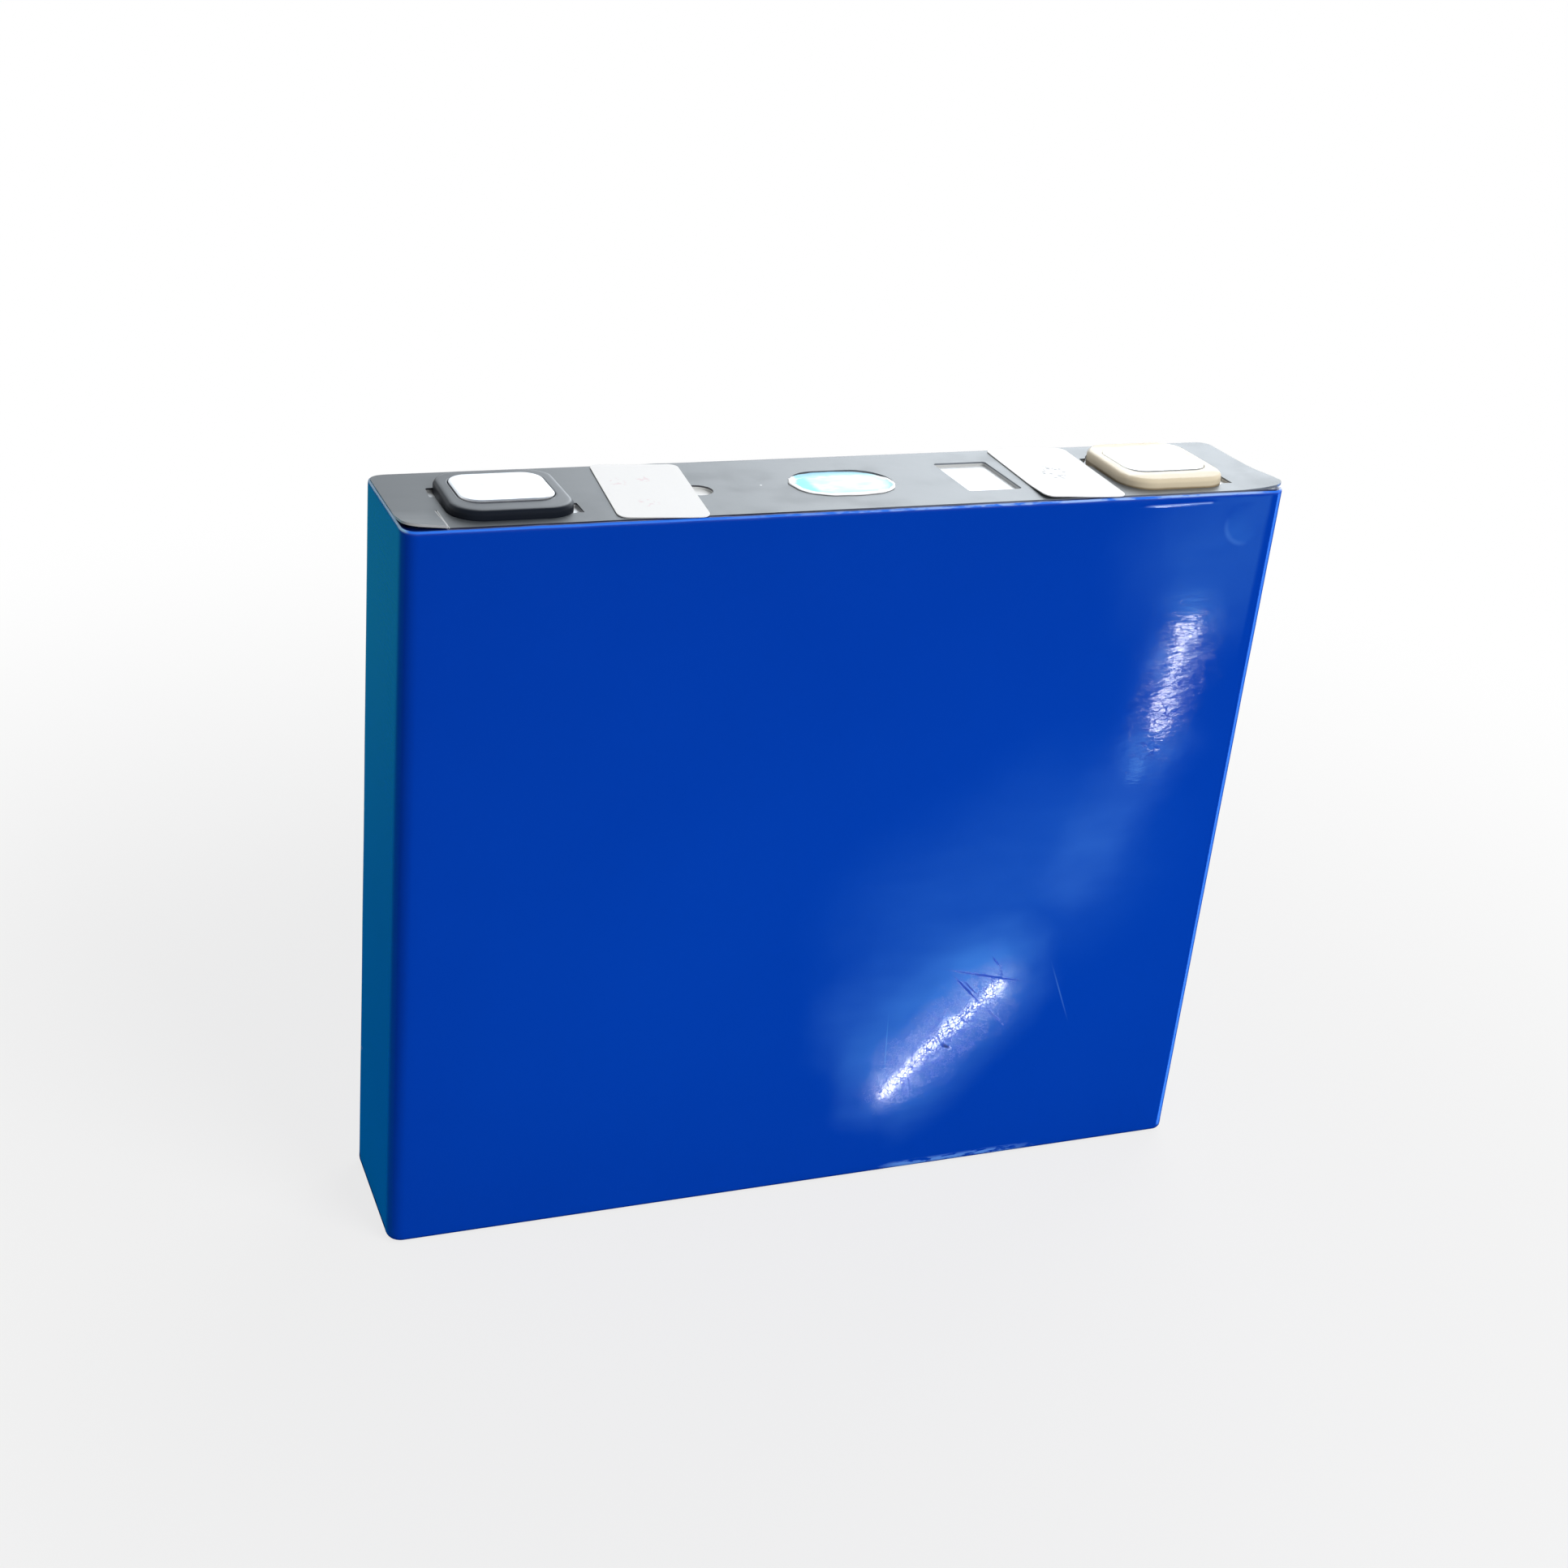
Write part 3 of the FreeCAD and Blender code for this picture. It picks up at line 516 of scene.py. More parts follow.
def fold_highlight_and_shade(f, film):
    """Paints the film's folds round the lid: an azure highlight on the crown, paler in patches to the right
    and on the left end, and painted shade where it turns in.
    """
    facing = f.facing()
    spots = f.clouds(3.0, 3.0, 0.6, f.scaled(0.6, 1.0, 3.0)) + f.near(f.x, 56.0, 16.0) * 0.12
    along = f.rise(f.x, -40.0, 30.0) * f.rise(f.x, 72.0, 67.0) * 0.8
    fold = f.blend(f.rise(spots, 0.46, 0.58) * along, FOLD_HIGHLIGHT_AZURE, FOLD_HIGHLIGHT_PALE)
    fold = f.blend(f.rise(f.x, -72.9, -73.7), fold, FOLD_SIDE_HIGHLIGHT)
    # The rounded crown, facing up to the light, gets the painted highlight.
    crown = f.rise(facing, 0.10, 0.45) * f.rise(f.z, 124.9, 125.3)
    film = f.blend(crown * 0.95, film, fold)
    # The flat fold that turns in under the sheet gets painted shade.
    turned = f.rise(facing, 0.86, 0.98) * f.rise(f.z, 125.2, 125.5)
    return f.blend(turned, film, FOLD_PAINTED_SHADE)


def bubble_highlight_masks(f):
    """Gives the masks of the painted highlight inside the film's bubble and of the painted crescent highlight
    on its lower left rim.
    """
    x, z = f.x - BUBBLE[0], f.z - BUBBLE[1]
    around = f.distance(x, z)
    inside = f.rise(around, 3.8, 2.6) * f.rise(x + z, 3.0, -3.0)
    return inside, f.near(around, 3.4, 0.7) * f.rise(x + z, -1.6, -4.6)


def film_colour(f, front):
    """The blue of the film, with highlights painted on its folds, along its bottom edge, on its crease and in
    its bubble, pale scuffs, painted shade along its dark lines and in a pit, and a small chip.
    """
    film = fold_highlight_and_shade(f, f.blend(f.clouds(34.0, 2.0), FILM_BLUE, FILM_PALER_BLUE))
    # Azure flecks low on the front: a painted highlight where the bottom edge catches the light.
    glint_flecks = f.rise(f.clouds(1.6, 3.0, 0.6, f.scaled(0.4, 1.0, 2.0)), 0.44, 0.54)
    foot_glint_and_shade = glint_flecks * f.rise(f.z, 1.9, 1.1) * f.rise(f.x, 14.0, 20.0) * f.rise(f.x, 50.0, 36.0)
    film = f.blend(foot_glint_and_shade * front * 0.75, film, (0.16, 0.40, 0.98))
    # A painted highlight along the crease under the right rim.
    crease = f.near(f.z - (f.x - CREASE_X) * CREASE_SLOPE, CREASE_Z, 0.26)
    crease = crease * f.rise(f.x, 47.2, 49.6) * f.rise(f.x, 60.4, 59.6)
    film = f.blend(crease * front * 0.85, film, (0.25, 0.38, 0.86))
    # The bubble's inside and crescent are painted highlights.
    inside, crescent = bubble_highlight_masks(f)
    film = f.blend(inside * front * 0.22, film, (0.02, 0.13, 0.60))
    film = f.blend(crescent * front * 0.22, film, (0.10, 0.28, 0.80))
    film = f.blend(streaks(f, SCUFFS) * front * 0.35, film, (0.12, 0.34, 0.82))
    # The scratch and wrinkle lines are painted darker: painted shade along them.
    film = f.blend(streaks(f, SCRATCHES) * front * 0.7, film, (0.0, 0.020, 0.24))
    # The pit is painted near black: painted shade in the dent.
    pit = streak(f, *PIT) * front
    film = f.blend(pit * 0.95, film, (0.0, 0.004, 0.05))
    chip = f.near(f.y, 10.6, 1.3) * f.near(f.z, 24.0, 0.9) * f.rise(f.clouds(0.7), 0.48, 0.56)
    film = f.blend(chip * f.rise(f.x, -73.6, -73.9), film, (0.62, 0.50, 0.55))
    return film, pit


def wrap_finish():
    """Blue polyester film: glossy, crazed where it was rubbed, crumpled near one edge, with highlights
    painted at its folds.
    """
    f = Finish("blue_wrap_film")
    front = f.rise(f.y, -12.9, -12.4, 1.0, 0.0)
    rag = f.clouds(3.0, 3.0) - 0.5
    rubbed = f.rise(streak(f, *RUBBED_PATCH) + rag * 0.9, 0.0, 1.0) * front
    crumpled = streak(f, *CRUMPLED_PATCH) * front
    side_lines = f.clouds(1.0, 3.0, 0.6, f.scaled(1.0, 0.12, 1.4)) * f.rise(f.x, -73.6, -73.9)
    peel = f.clouds(1.6, 2.0) * 0.0010 + f.clouds(7.0, 2.0, where=f.scaled(1.0, 1.0, 0.6)) * 0.010
    film, pit = film_colour(f, front)
    marks = (streaks(f, SCORES) * 0.004 + pit * 0.05) * front
    cracks = crazing(f, rubbed)
    wrinkles, lines = crumples(f, crumpled)
    grit = f.clouds(0.35, 3.0, 0.6) * 0.002 * rubbed
    f.bump(wrinkles - cracks * 0.0022 + grit + side_lines * 0.012 + peel - marks)
    dull = cracks * 0.55 + lines * 0.30 + streaks(f, SCRATCHES) * front * 1.1 + pit * 0.5
    gloss = f.clouds(12.0, 3.0) * 0.024 + 0.026 + dull + f.rise(f.z, 125.0, 125.4) * 0.25
    return f.set(Base_Color=film, Roughness=gloss, Specular_IOR_Level=0.5)


def sheet_finish():
    """Grey insulating sheet: satin, fine grained, with hand marks, painted shade on its cut edges that is
    darker to the left, paler low on those edges, and painted highlights on the lit edges of the flap and
    slit.
    """
    f = Finish("grey_top_sheet")
    grain = f.clouds(0.22, 2.0, where=f.scaled(0.35, 1.0, 1.0))
    marks = f.rise(f.clouds(6.5, 3.0), 0.45, 0.75)
    grey = f.blend(grain, (0.056, 0.064, 0.072), (0.068, 0.077, 0.086))
    grey = f.blend(marks * 0.25, grey, (0.095, 0.105, 0.115))
    # Cut edges get painted shade, darker to the left.
    edge = f.rise(abs(f.facing("True Normal")), 0.75, 0.6)
    flap = f.rise(f.x, SLIT_X + 0.3, SLIT_X - 0.1) * f.rise(f.y, -4.0, -6.0)
    cut = f.blend(f.rise(f.x, -20.0, 10.0), (0.030, 0.030, 0.042), (0.17, 0.19, 0.22))
    # Paler low on the cut edges, and a painted highlight on the lit edge of the flap.
    cut = f.blend(f.maths("MAXIMUM", f.rise(f.z, 125.80, 125.74), flap * 0.75), cut, (0.60, 0.61, 0.60))
    grey = f.blend(edge, grey, cut)
    # A painted highlight along the lit edge of the slit.
    slit = f.near(f.x, SLIT_X, 0.35) * f.rise(f.y, SLIT_END_Y, SLIT_END_Y - 0.6) * f.rise(f.z, 125.9, 126.05)
    grey = f.blend(slit, grey, (0.70, 0.70, 0.70))
    fleck = f.near(f.x, -13.8, 0.28) * f.near(f.y, 0.1, 0.28)
    grey = f.blend(fleck, grey, (0.85, 0.87, 0.88))
    f.bump(grain * 0.0030 + f.clouds(9.0) * 0.05 + marks * 0.002)
    return f.set(Base_Color=grey, Roughness=marks * 0.06 + 0.37, Specular_IOR_Level=1.0)


def sticker_finish(name, tint, strength, marks):
    """White paper sticker with a faint fibre and a few faded ink marks. Each mark: middle, half sizes."""
    f = Finish(name)
    fibre = f.clouds(0.35, 4.0, 0.6)
    paper = f.blend(fibre, (0.88, 0.88, 0.88), (0.93, 0.93, 0.93))
    spots = f.rise(f.clouds(0.9, 1.0), 0.54, 0.60)
    for x, y, half_x, half_y in marks:
        inked = f.near(f.x, x, half_x) * f.near(f.y, y, half_y)
        paper = f.blend(f.rise(inked, 0.05, 0.5) * spots * strength, paper, tint)
    f.bump(fibre * 0.004 + f.clouds(5.0) * 0.03)
    return f.set(Base_Color=paper, Roughness=fibre * 0.1 + 0.5)


def vent_cover_finish():
    """Pale cyan protective film: deeper colour at one end and along the back, white glue round its rim."""
    f = Finish("vent_cover_film")
    power = 2.6
    across, deep = abs(f.x - 0.1) / 7.7, abs(f.y + 0.6) / 4.4
    reach = (across ** power + deep ** power) ** (1 / power)
    rag = f.clouds(1.7, 3.0) - 0.5
    swirl = f.clouds(2.6, 2.0, where=f.scaled(0.6, 1.0, 1.0))
    body = f.blend(f.rise(swirl, 0.35, 0.65), (0.80, 0.93, 0.93), (0.50, 0.90, 0.92))
    ring = f.rise(reach + rag * 0.3, 0.78, 0.95)
    body = f.blend(ring * 0.7, body, (0.34, 0.86, 0.90))
    left = f.rise(f.x + rag, -4.7, -6.0)
    body = f.blend(left * 0.9, body, (0.12, 0.84, 0.86))
    back = f.rise(f.y + rag, 2.9, 4.0)
    body = f.blend(back * 0.85, body, (0.16, 0.52, 0.76))
    open_rim = f.maths("MAXIMUM", f.rise(f.y, 3.4, 2.2), f.rise(f.x, -6.4, -7.4))
    glue = f.rise(reach + rag * 0.22, 0.98, 1.05) * open_rim
    blob_x, blob_y = f.x - 5.6, f.y + 5.0
    blob = f.rise(f.maths("SQRT", blob_x * blob_x + blob_y * blob_y * 1.6), 1.6, 1.2)
    body = f.blend(f.maths("MAXIMUM", glue, blob), body, (0.88, 0.89, 0.89))
    f.bump(swirl * 0.05 + f.clouds(0.9, 2.0) * 0.012)
    return f.set(Base_Color=body, Roughness=0.35, Specular_IOR_Level=0.5)


def moulded(name, colour, worn, roughness, level=0.5, sheen=0.0, foot_glint_and_shade=None):
    """Moulded plastic: an even colour with fine texture, slight mottling and a glossier top; given a colour
    for low down, it gets painted shade there and a painted highlight on the land round the pad.
    """
    f = Finish(name)
    mottle = f.clouds(3.2, 3.0)
    body = f.blend(mottle * 0.5, colour, worn)
    if foot_glint_and_shade:
        # Painted shade low on the surround, where it meets the sheet.
        body = f.blend(f.rise(f.z + mottle * 0.1, 126.42, 126.10) * 0.8, body, foot_glint_and_shade)
        # A painted highlight on the land round the pad's pocket.
        beside = f.maths("MAXIMUM", abs(f.x - 56.0) - 7.4, abs(f.y) - 6.2)
        body = f.blend(f.rise(beside + mottle, 2.6, 0.6) * 0.8, body, (0.92, 0.88, 0.78))
    if sheen:
        f.set(Coat_Weight=f.rise(f.facing(), 0.78, 0.99) * sheen, Coat_Roughness=0.33)
    f.bump(f.clouds(0.16, 2.0) * 0.004 + f.clouds(4.0) * 0.02)
    return f.set(Base_Color=body, Roughness=mottle * 0.12 + roughness, Specular_IOR_Level=level)


def brushed(name, colour, dull, roughness, along=0, metal=1.0):
    """Bare metal with the lines of rolling or brushing along one axis, and dull spots."""
    f = Finish(name)
    stretch = (0.02 if axis == along else 1.0 for axis in range(3))
    lines = f.clouds(0.12, 3.0, 0.6, f.scaled(*stretch))
    spots = f.rise(f.clouds(2.2, 3.0), 0.5, 0.75)
    body = f.blend(spots * 0.6 + lines * 0.25, colour, dull)
    f.bump(lines * 0.003 + f.clouds(5.0) * 0.015)
    return f.set(Base_Color=body, Roughness=lines * 0.14 + spots * 0.1 + roughness, Metallic=metal)


def foil_stack(name, colour, other):
    """The edge of many foils wound side by side: thin lines of two shades."""
    f = Finish(name)
    layers = f.clouds(0.12, 2.0, 0.6, f.scaled(0.05, 1.0, 0.05))
    body = f.blend(f.rise(layers, 0.4, 0.6), colour, other)
    f.bump(layers * 0.01)
    return f.set(Base_Color=body, Roughness=layers * 0.2 + 0.45)


def thin_film(name, colour, roughness):
    """Thin insulating film or tape: even colour, a light gloss and shallow wrinkles."""
    f = Finish(name)
    wrinkles = f.clouds(7.0, 3.0, where=f.scaled(1.0, 1.0, 0.4))
    pale = tuple(min(1.0, c * 1.25 + 0.02) for c in colour)
    f.bump(wrinkles * 0.12)
    return f.set(Base_Color=f.blend(wrinkles, colour, pale), Roughness=wrinkles * 0.1 + roughness)


# ---------------------------------------------------------------- pieces

def wrap_depth(place, normal):
    """Gives how far the film lies inside its outer shape at a point: waves, puckers and a bubble."""
    x, y, z = place
    depth = 0.10 + 0.05 * wave(x, y, z, 45, 1) + 0.02 * wave(x, y, z, 14, 2)
    if normal.y < -0.6:
        pucker = hump(x - (z - 90) * 0.24, 57.5, 9) * step(z, 66, 82) * step(114 - z, 0, 10)
        depth += 0.018 * pucker * wave(x / 5.0, y, z, 2.4, 3)
        rub = hump(x + z, 51, 40) * hump(x - z, -2, 26)
        depth += 0.012 * rub * wave(x, y, z, 2.8, 4)
        around = math.hypot(x - BUBBLE[0], z - BUBBLE[1])
        depth -= 0.030 * step(4.2 - around, 0, 2.2)
        crease = hump(z, CREASE_Z + (x - CREASE_X) * CREASE_SLOPE, 0.25)
        depth -= 0.04 * crease * step(x, 47, 49) * step(61 - x, 0, 2)
        depth += 0.05 * hump(x, -71.0, 1.6) * step(z, 96, 122)
    crown = step(z, 124.7, 125.3)
    depth += crown * (0.05 * wave(x, y, z, 4.5, 5) + 0.035 * wave(x, y, z, 1.7, 6))
    heel = step(2.5 - z, 0, 2) * hump(x, 27, 12)
    depth += heel * 0.05 * wave(x, y, z, 2.2, 7)
    return max(0.0, depth) * step(z, 0, 1.5)


def make_wrap():
    """The blue film: a thin sleeve with rounded edges, folded in over the rim of the lid."""
    low, high = node_box("wrap_film")
    bm = block(low, high)
    round_edges(bm, upright_edges(bm), WRAP_CORNER, 8)
    round_edges(bm, edges_at(bm, low.z), WRAP_BASE_EDGE, 4)
    round_edges(bm, edges_at(bm, high.z), WRAP_TOP_EDGE, 5)
    bmesh.ops.inset_region(
        bm, faces=[top_face(bm)], thickness=WRAP_FOLD - WRAP_TOP_EDGE, use_even_offset=True
    )
    bmesh.ops.delete(bm, geom=[top_face(bm)], context="FACES")
    cut_long_edges(bm, 0, 100, WRAP_GRID)
    cut_long_edges(bm, 2, 100, WRAP_GRID)
    cut_long_edges(bm, 1, 15, WRAP_GRID)
    cut_planes(bm, 2, [124.0, 124.15, 124.3, 124.45, 124.6, 124.85])
    bm.normal_update()
    outward = {v: v.normal.copy() for v in bm.verts}
    for vert, normal in outward.items():
        vert.co -= normal * wrap_depth(vert.co, normal)
        vert.co.z += WRAP_RISE * step(vert.co.z, 124.2, 125.2)
    wrap = piece_from(bm, "wrap", wrap_finish(), sharp=60)
    add_wall(wrap, WRAP_WALL)
    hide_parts("wrap_film")


def open_slit(bm, low, high):
    """Cuts the narrow slit that frees the sheet's front left corner, and walls its sides."""
    sides = (SLIT_X - SLIT_WIDTH / 2, SLIT_X + SLIT_WIDTH / 2)
    cut_planes(bm, 0, sides)
    cut_planes(bm, 1, [SLIT_END_Y])
    middles = {f: f.calc_center_median() for f in bm.faces}
    strip = [f for f, c in middles.items() if sides[0] < c.x < sides[1] and c.y < SLIT_END_Y]
    bmesh.ops.delete(bm, geom=strip, context="FACES")
    lips = [e for e in bm.edges if e.is_boundary]
    half = (low.z + high.z) / 2
    upper = [e for e in lips if min(v.co.z for v in e.verts) > half]
    lower = [e for e in lips if max(v.co.z for v in e.verts) < half]
    bmesh.ops.bridge_loops(bm, edges=upper + lower)


def sheet_lift(x, y):
    """Gives how far the sheet stands up at a point: its two front corners have come loose."""
    if x < SLIT_X:
        return step(-y, 4.7, 12.6) * (0.36 + 0.10 * (SLIT_X - x))
    corner = step(-y, 1.0, 12.6) * 0.62 * max(0.0, (x - 65.5) / 8.4) ** 1.3
    return corner + 0.22 * step(x, 69, 74) * step(4 - y, 0, 12)


def fit_surround(pole, x, y):
    """Moves a point of a surround's outline to where the real surround has it."""
    middle = node_middle(pole + "_frame")
    back, corner, right = SURROUND_FIT[pole]
    moved_x = x - right * step(x - middle.x, 3.0, 9.7)
    moved_x += corner * step(y, 1.5, 8.5) * step(middle.x - x, 4.0, 9.7)
    return moved_x, y - back * step(y, 2.0, 10.3)


def fit_opening(pole, x, y):
    """Moves a point of the sheet's opening round a surround, and of the opening's two notches."""
    middle = node_middle(pole + "_frame")
    (left_shift, left_depth), (right_shift, right_depth) = NOTCH_FIT[pole]
    side = x - middle.x
    edge = math.copysign(OPENING_HALF, side)
    if side < 0:
        y += left_shift * step(-side, 8.5, 9.7) * step(y, 0.0, 2.7) * step(10.8 - y, 0.0, 4.4)
    else:
        y += right_shift * step(side, 8.5, 9.7) * step(-y, 0.0, 2.7) * step(10.8 + y, 0.0, 4.9)
    if abs(side) > OPENING_HALF + 0.01:
        x = middle.x + edge + (side - edge) * (left_depth if side < 0 else right_depth)
    return fit_surround(pole, x, y)


def fit_sheet(x, y):
    """Moves a point of the sheet's outline or of its openings to where the real sheet has it."""
    for pole in ("negative", "positive"):
        beside = abs(x - node_middle(pole + "_frame").x)
        if beside < OPENING_REACH[0] and abs(y) < OPENING_REACH[1]:
            return fit_opening(pole, x, y)
    fill = node_middle("fill_cap")
    if math.hypot(x - fill.x, y - fill.y) < FILL_HOLE_REACH:
        x = fill.x + (x - fill.x) * FILL_HOLE_SHARE + FILL_HOLE_SHIFT[0]
        y = fill.y + (y - fill.y) * FILL_HOLE_SHARE + FILL_HOLE_SHIFT[1]
        return x, y
    return x - LEFT_EDGE_SHIFT * step(-x, 70.4, 73.0), y


def make_sheet():
    """The grey sheet over the lid, with its openings, its slit and its two lifted corners."""
    low, high = node_box("top_sheet")
    bm = bmesh.new()
    bm.from_mesh(nodes["top_sheet"].data)
    bmesh.ops.scale(bm, vec=(1 / MM, 1 / MM, 1 / MM), verts=bm.verts)
    bmesh.ops.remove_doubles(bm, verts=bm.verts, dist=1e-4)
    bmesh.ops.dissolve_limit(bm, angle_limit=0.01, verts=bm.verts, edges=bm.edges)
    for vert in bm.verts:
        vert.co.x, vert.co.y = fit_sheet(vert.co.x, vert.co.y)
    open_slit(bm, low, high)
    cut_planes(bm, 0, spaced(low.x + 0.7, -66.5, 0.7) + spaced(-65.0, 64.8, 2.0))
    cut_planes(bm, 0, spaced(65.5, high.x - 0.7, 0.7))
    cut_planes(bm, 1, spaced(low.y + 0.8, high.y - 0.8, 1.0))
    bmesh.ops.dissolve_degenerate(bm, dist=1e-3, edges=bm.edges)
    for vert in bm.verts:
        vert.co.z += sheet_lift(vert.co.x, vert.co.y)
    sheet = piece_from(bm, "sheet", sheet_finish())
    even = sheet.modifiers.new("even_shading", "WEIGHTED_NORMAL")
    even.keep_sharp = True
    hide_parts("top_sheet")


def make_sticker(side, turn, finish, lift):
    """A white sticker on the sheet, turned a little, with an edge that stands off the sheet."""
    node = "label_" + side
    low, high = node_box(node)
    middle = (low + high) / 2
    half = Vector((STICKER_SIZE[0] / 2, STICKER_SIZE[1] / 2, 0))
    bm = block(-half, half + Vector((0, 0, high.z - low.z)))
    round_edges(bm, upright_edges(bm), STICKER_CORNER, 6)
    cut_grid(bm, -half, half, 0.6, 0.8)
    for vert in bm.verts:
        vert.co.z += lift(vert.co.x, vert.co.y)
        vert.co.y -= STICKER_LAP * step(-vert.co.y, half.y - 3.0, half.y)
    turned = Matrix.Rotation(math.radians(turn), 3, "Z")
    bmesh.ops.rotate(bm, cent=(0, 0, 0), matrix=turned, verts=bm.verts)
    bmesh.ops.translate(bm, vec=(middle.x, middle.y, low.z), verts=bm.verts)
    sticker = piece_from(bm, "sticker_" + side, finish)
    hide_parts(node)


def left_sticker_lift(x, y):
    """Nearly flat, with a soft ripple."""
    return 0.03 * (1 + wave(x, y, 0, 9, 8)) * step(abs(x), 3, 7)


def right_sticker_lift(x, y):
    """Its front left corner has come away from the sheet."""
    return 0.32 * step(-x - y, 7.5, 19.4) * step(-y, 4, 12) + 0.02 * (1 + wave(x, y, 0, 8, 9))


def rounded_oval(u, v):
    """Maps a square from -1 to 1 onto a full oval of size 1. Gives the place and how near the rim it is."""
    x, y = u * math.sqrt(1 - v * v / 2), v * math.sqrt(1 - u * u / 2)
    reach = math.hypot(x, y)
    if reach < 1e-6:
        return 0.0, 0.0, 0.0
    power = VENT_COVER_POWER
    stretch = (abs(x / reach) ** power + abs(y / reach) ** power) ** (-1 / power)
    return x * stretch, y * stretch, reach


def make_vent_cover():
    """The protective film over the vent: a thin ragged oval that laps over the sheet at the front."""
    bm = bmesh.new()
    bmesh.ops.create_grid(bm, x_segments=44, y_segments=32, size=1.0)
    for vert in bm.verts:
        x, y, rim = rounded_oval(vert.co.x, vert.co.y)
        ragged = 1 + 0.035 * step(rim, 0.75, 1.0) * wave(x * 9, y * 6, 0, 2.4, 10)
        x = VENT_COVER_MIDDLE[0] + x * VENT_COVER_HALF[0] * ragged
        y = VENT_COVER_MIDDLE[1] + y * VENT_COVER_HALF[1] * ragged
        over = math.hypot(max(0.0, abs(x) - VENT_OPENING[0] + VENT_OPENING[1]), y) - VENT_OPENING[1]
        lapped = (0.26 - 0.18 * step(y, 1.0, 4.0)) * step(over, -0.8, -0.1)
        dome = 0.12 * step(1 - rim, 0.05, 0.4) + 0.02 * wave(x, y, 0, 2.4, 11)
        vert.co = Vector((x, y, VENT_COVER_Z + lapped + dome))
    cover = piece_from(bm, "vent_cover", vent_cover_finish())
    add_wall(cover, VENT_COVER_WALL)
    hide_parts("vent_film")


def make_surround(pole, edge, gap, finish):
    """The plastic surround of a terminal: a rounded block with a pocket for the pad."""
    node = pole + "_frame"
    low, high = node_box(node)
    pad_low, pad_high = node_box(pole + "_pad")
    bm = block(low, high)
    round_edges(bm, upright_edges(bm), FRAME_CORNER, 10)
    round_edges(bm, edges_at(bm, high.z), edge, 6)
    for vert in bm.verts:
        vert.co.x, vert.co.y = fit_surround(pole, vert.co.x, vert.co.y)
    bmesh.ops.delete(bm, geom=[top_face(bm)], context="FACES")
    pocket = block(
        (pad_low.x - gap, pad_low.y - gap, pad_low.z), (pad_high.x + gap, pad_high.y + gap, high.z)
    )
    round_edges(pocket, upright_edges(pocket), PAD_CORNER + gap, 10)
    bmesh.ops.delete(pocket, geom=[top_face(pocket)], context="FACES")
    bmesh.ops.reverse_faces(pocket, faces=pocket.faces)
    shell = bpy.data.meshes.new("pocket")
    pocket.to_mesh(shell)
    pocket.free()
    bm.from_mesh(shell)
    bpy.data.meshes.remove(shell)
    rims = [e for e in bm.edges if e.is_boundary]
    bridge = bmesh.ops.bridge_loops(bm, edges=rims)
    bridged = {e for f in bridge["faces"] for e in f.edges} - set(rims)
    bmesh.ops.subdivide_edges(bm, edges=list(bridged), cuts=3, use_grid_fill=True)
    bmesh.ops.bevel(
        bm, geom=[e for e in edges_at(bm, high.z) if e.calc_face_angle(0) > 1.2], offset=POCKET_EDGE,
        offset_type="OFFSET", affect="EDGES", segments=2, profile=0.5, material=-1,
    )
    surround = piece_from(bm, pole + "_surround", finish, sharp=50)
    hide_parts(node)


def make_pad(pole, finish):
    """The aluminium weld pad of a terminal, with softened edges and a slightly uneven face."""
    node = pole + "_pad"
    low, high = node_box(node)
    bm = block(low, high)
    round_edges(bm, upright_edges(bm), PAD_CORNER, 10)
    round_edges(bm, edges_at(bm, high.z), PAD_EDGE, 4)
    cut_grid(bm, low, high, 0.9, 1.0)
    for vert in bm.verts:
        if vert.co.z > high.z - 0.01:
            vert.co.z -= 0.02 + 0.018 * wave(*vert.co, 3.5, 12)
    pad = piece_from(bm, pole + "_weld_pad", finish)
    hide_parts(node)


# ---------------------------------------------------------------- the frame's own solids

def dress_nodes():
    """Gives the CAD solids that stay their own finishes."""
    plastic = moulded("lid_plastic", (0.10, 0.10, 0.11), (0.14, 0.14, 0.15), 0.45)
    slots = {
        "can_aluminium": brushed("can_aluminium", (0.76, 0.77, 0.78), (0.6, 0.6, 0.61), 0.3, along=2),
        "lid_aluminium": brushed("lid_aluminium", (0.90, 0.91, 0.92), (0.84, 0.85, 0.86), 0.3, metal=0.5),
        "pad_aluminium": brushed("rivet_aluminium", (0.80, 0.81, 0.82), (0.66, 0.67, 0.68), 0.25),
        "vent_foil": brushed("vent_foil", (0.82, 0.83, 0.84), (0.66, 0.67, 0.68), 0.2),
        "aluminium_inside": brushed(
            "foil_aluminium", (0.78, 0.79, 0.80), (0.60, 0.61, 0.62), 0.28, along=2
        ),
        "copper_inside": brushed("foil_copper", (0.80, 0.38, 0.22), (0.55, 0.24, 0.14), 0.28, along=2),
        "electrode_foil": foil_stack("electrode_layers", (0.05, 0.05, 0.055), (0.42, 0.24, 0.16)),
        "seal_rubber": moulded("seal_rubber", (0.03, 0.03, 0.035), (0.06, 0.06, 0.06), 0.6),
        "bag_film": thin_film("clear_bag", (0.55, 0.58, 0.58), 0.25),
        "tape": thin_film("green_tape", (0.05, 0.30, 0.14), 0.4),
        "inner_plastic": plastic, "black_plastic": plastic, "cream_plastic": plastic,
    }
    # The fill cap is painted white: a painted reflection of the bright metal in the hole.
    white = moulded("fill_cap_painted_white", (0.88, 0.89, 0.89), (0.93, 0.94, 0.94), 0.4)
    for part in frame["record"]["subparts"]:
        finish = white if part["node"] == "fill_cap" else slots.get(part["material_slot"])
        mesh = nodes[part["node"]].data
        if finish:
            mesh.materials.clear()
            mesh.materials.append(finish)


# ---------------------------------------------------------------- studio

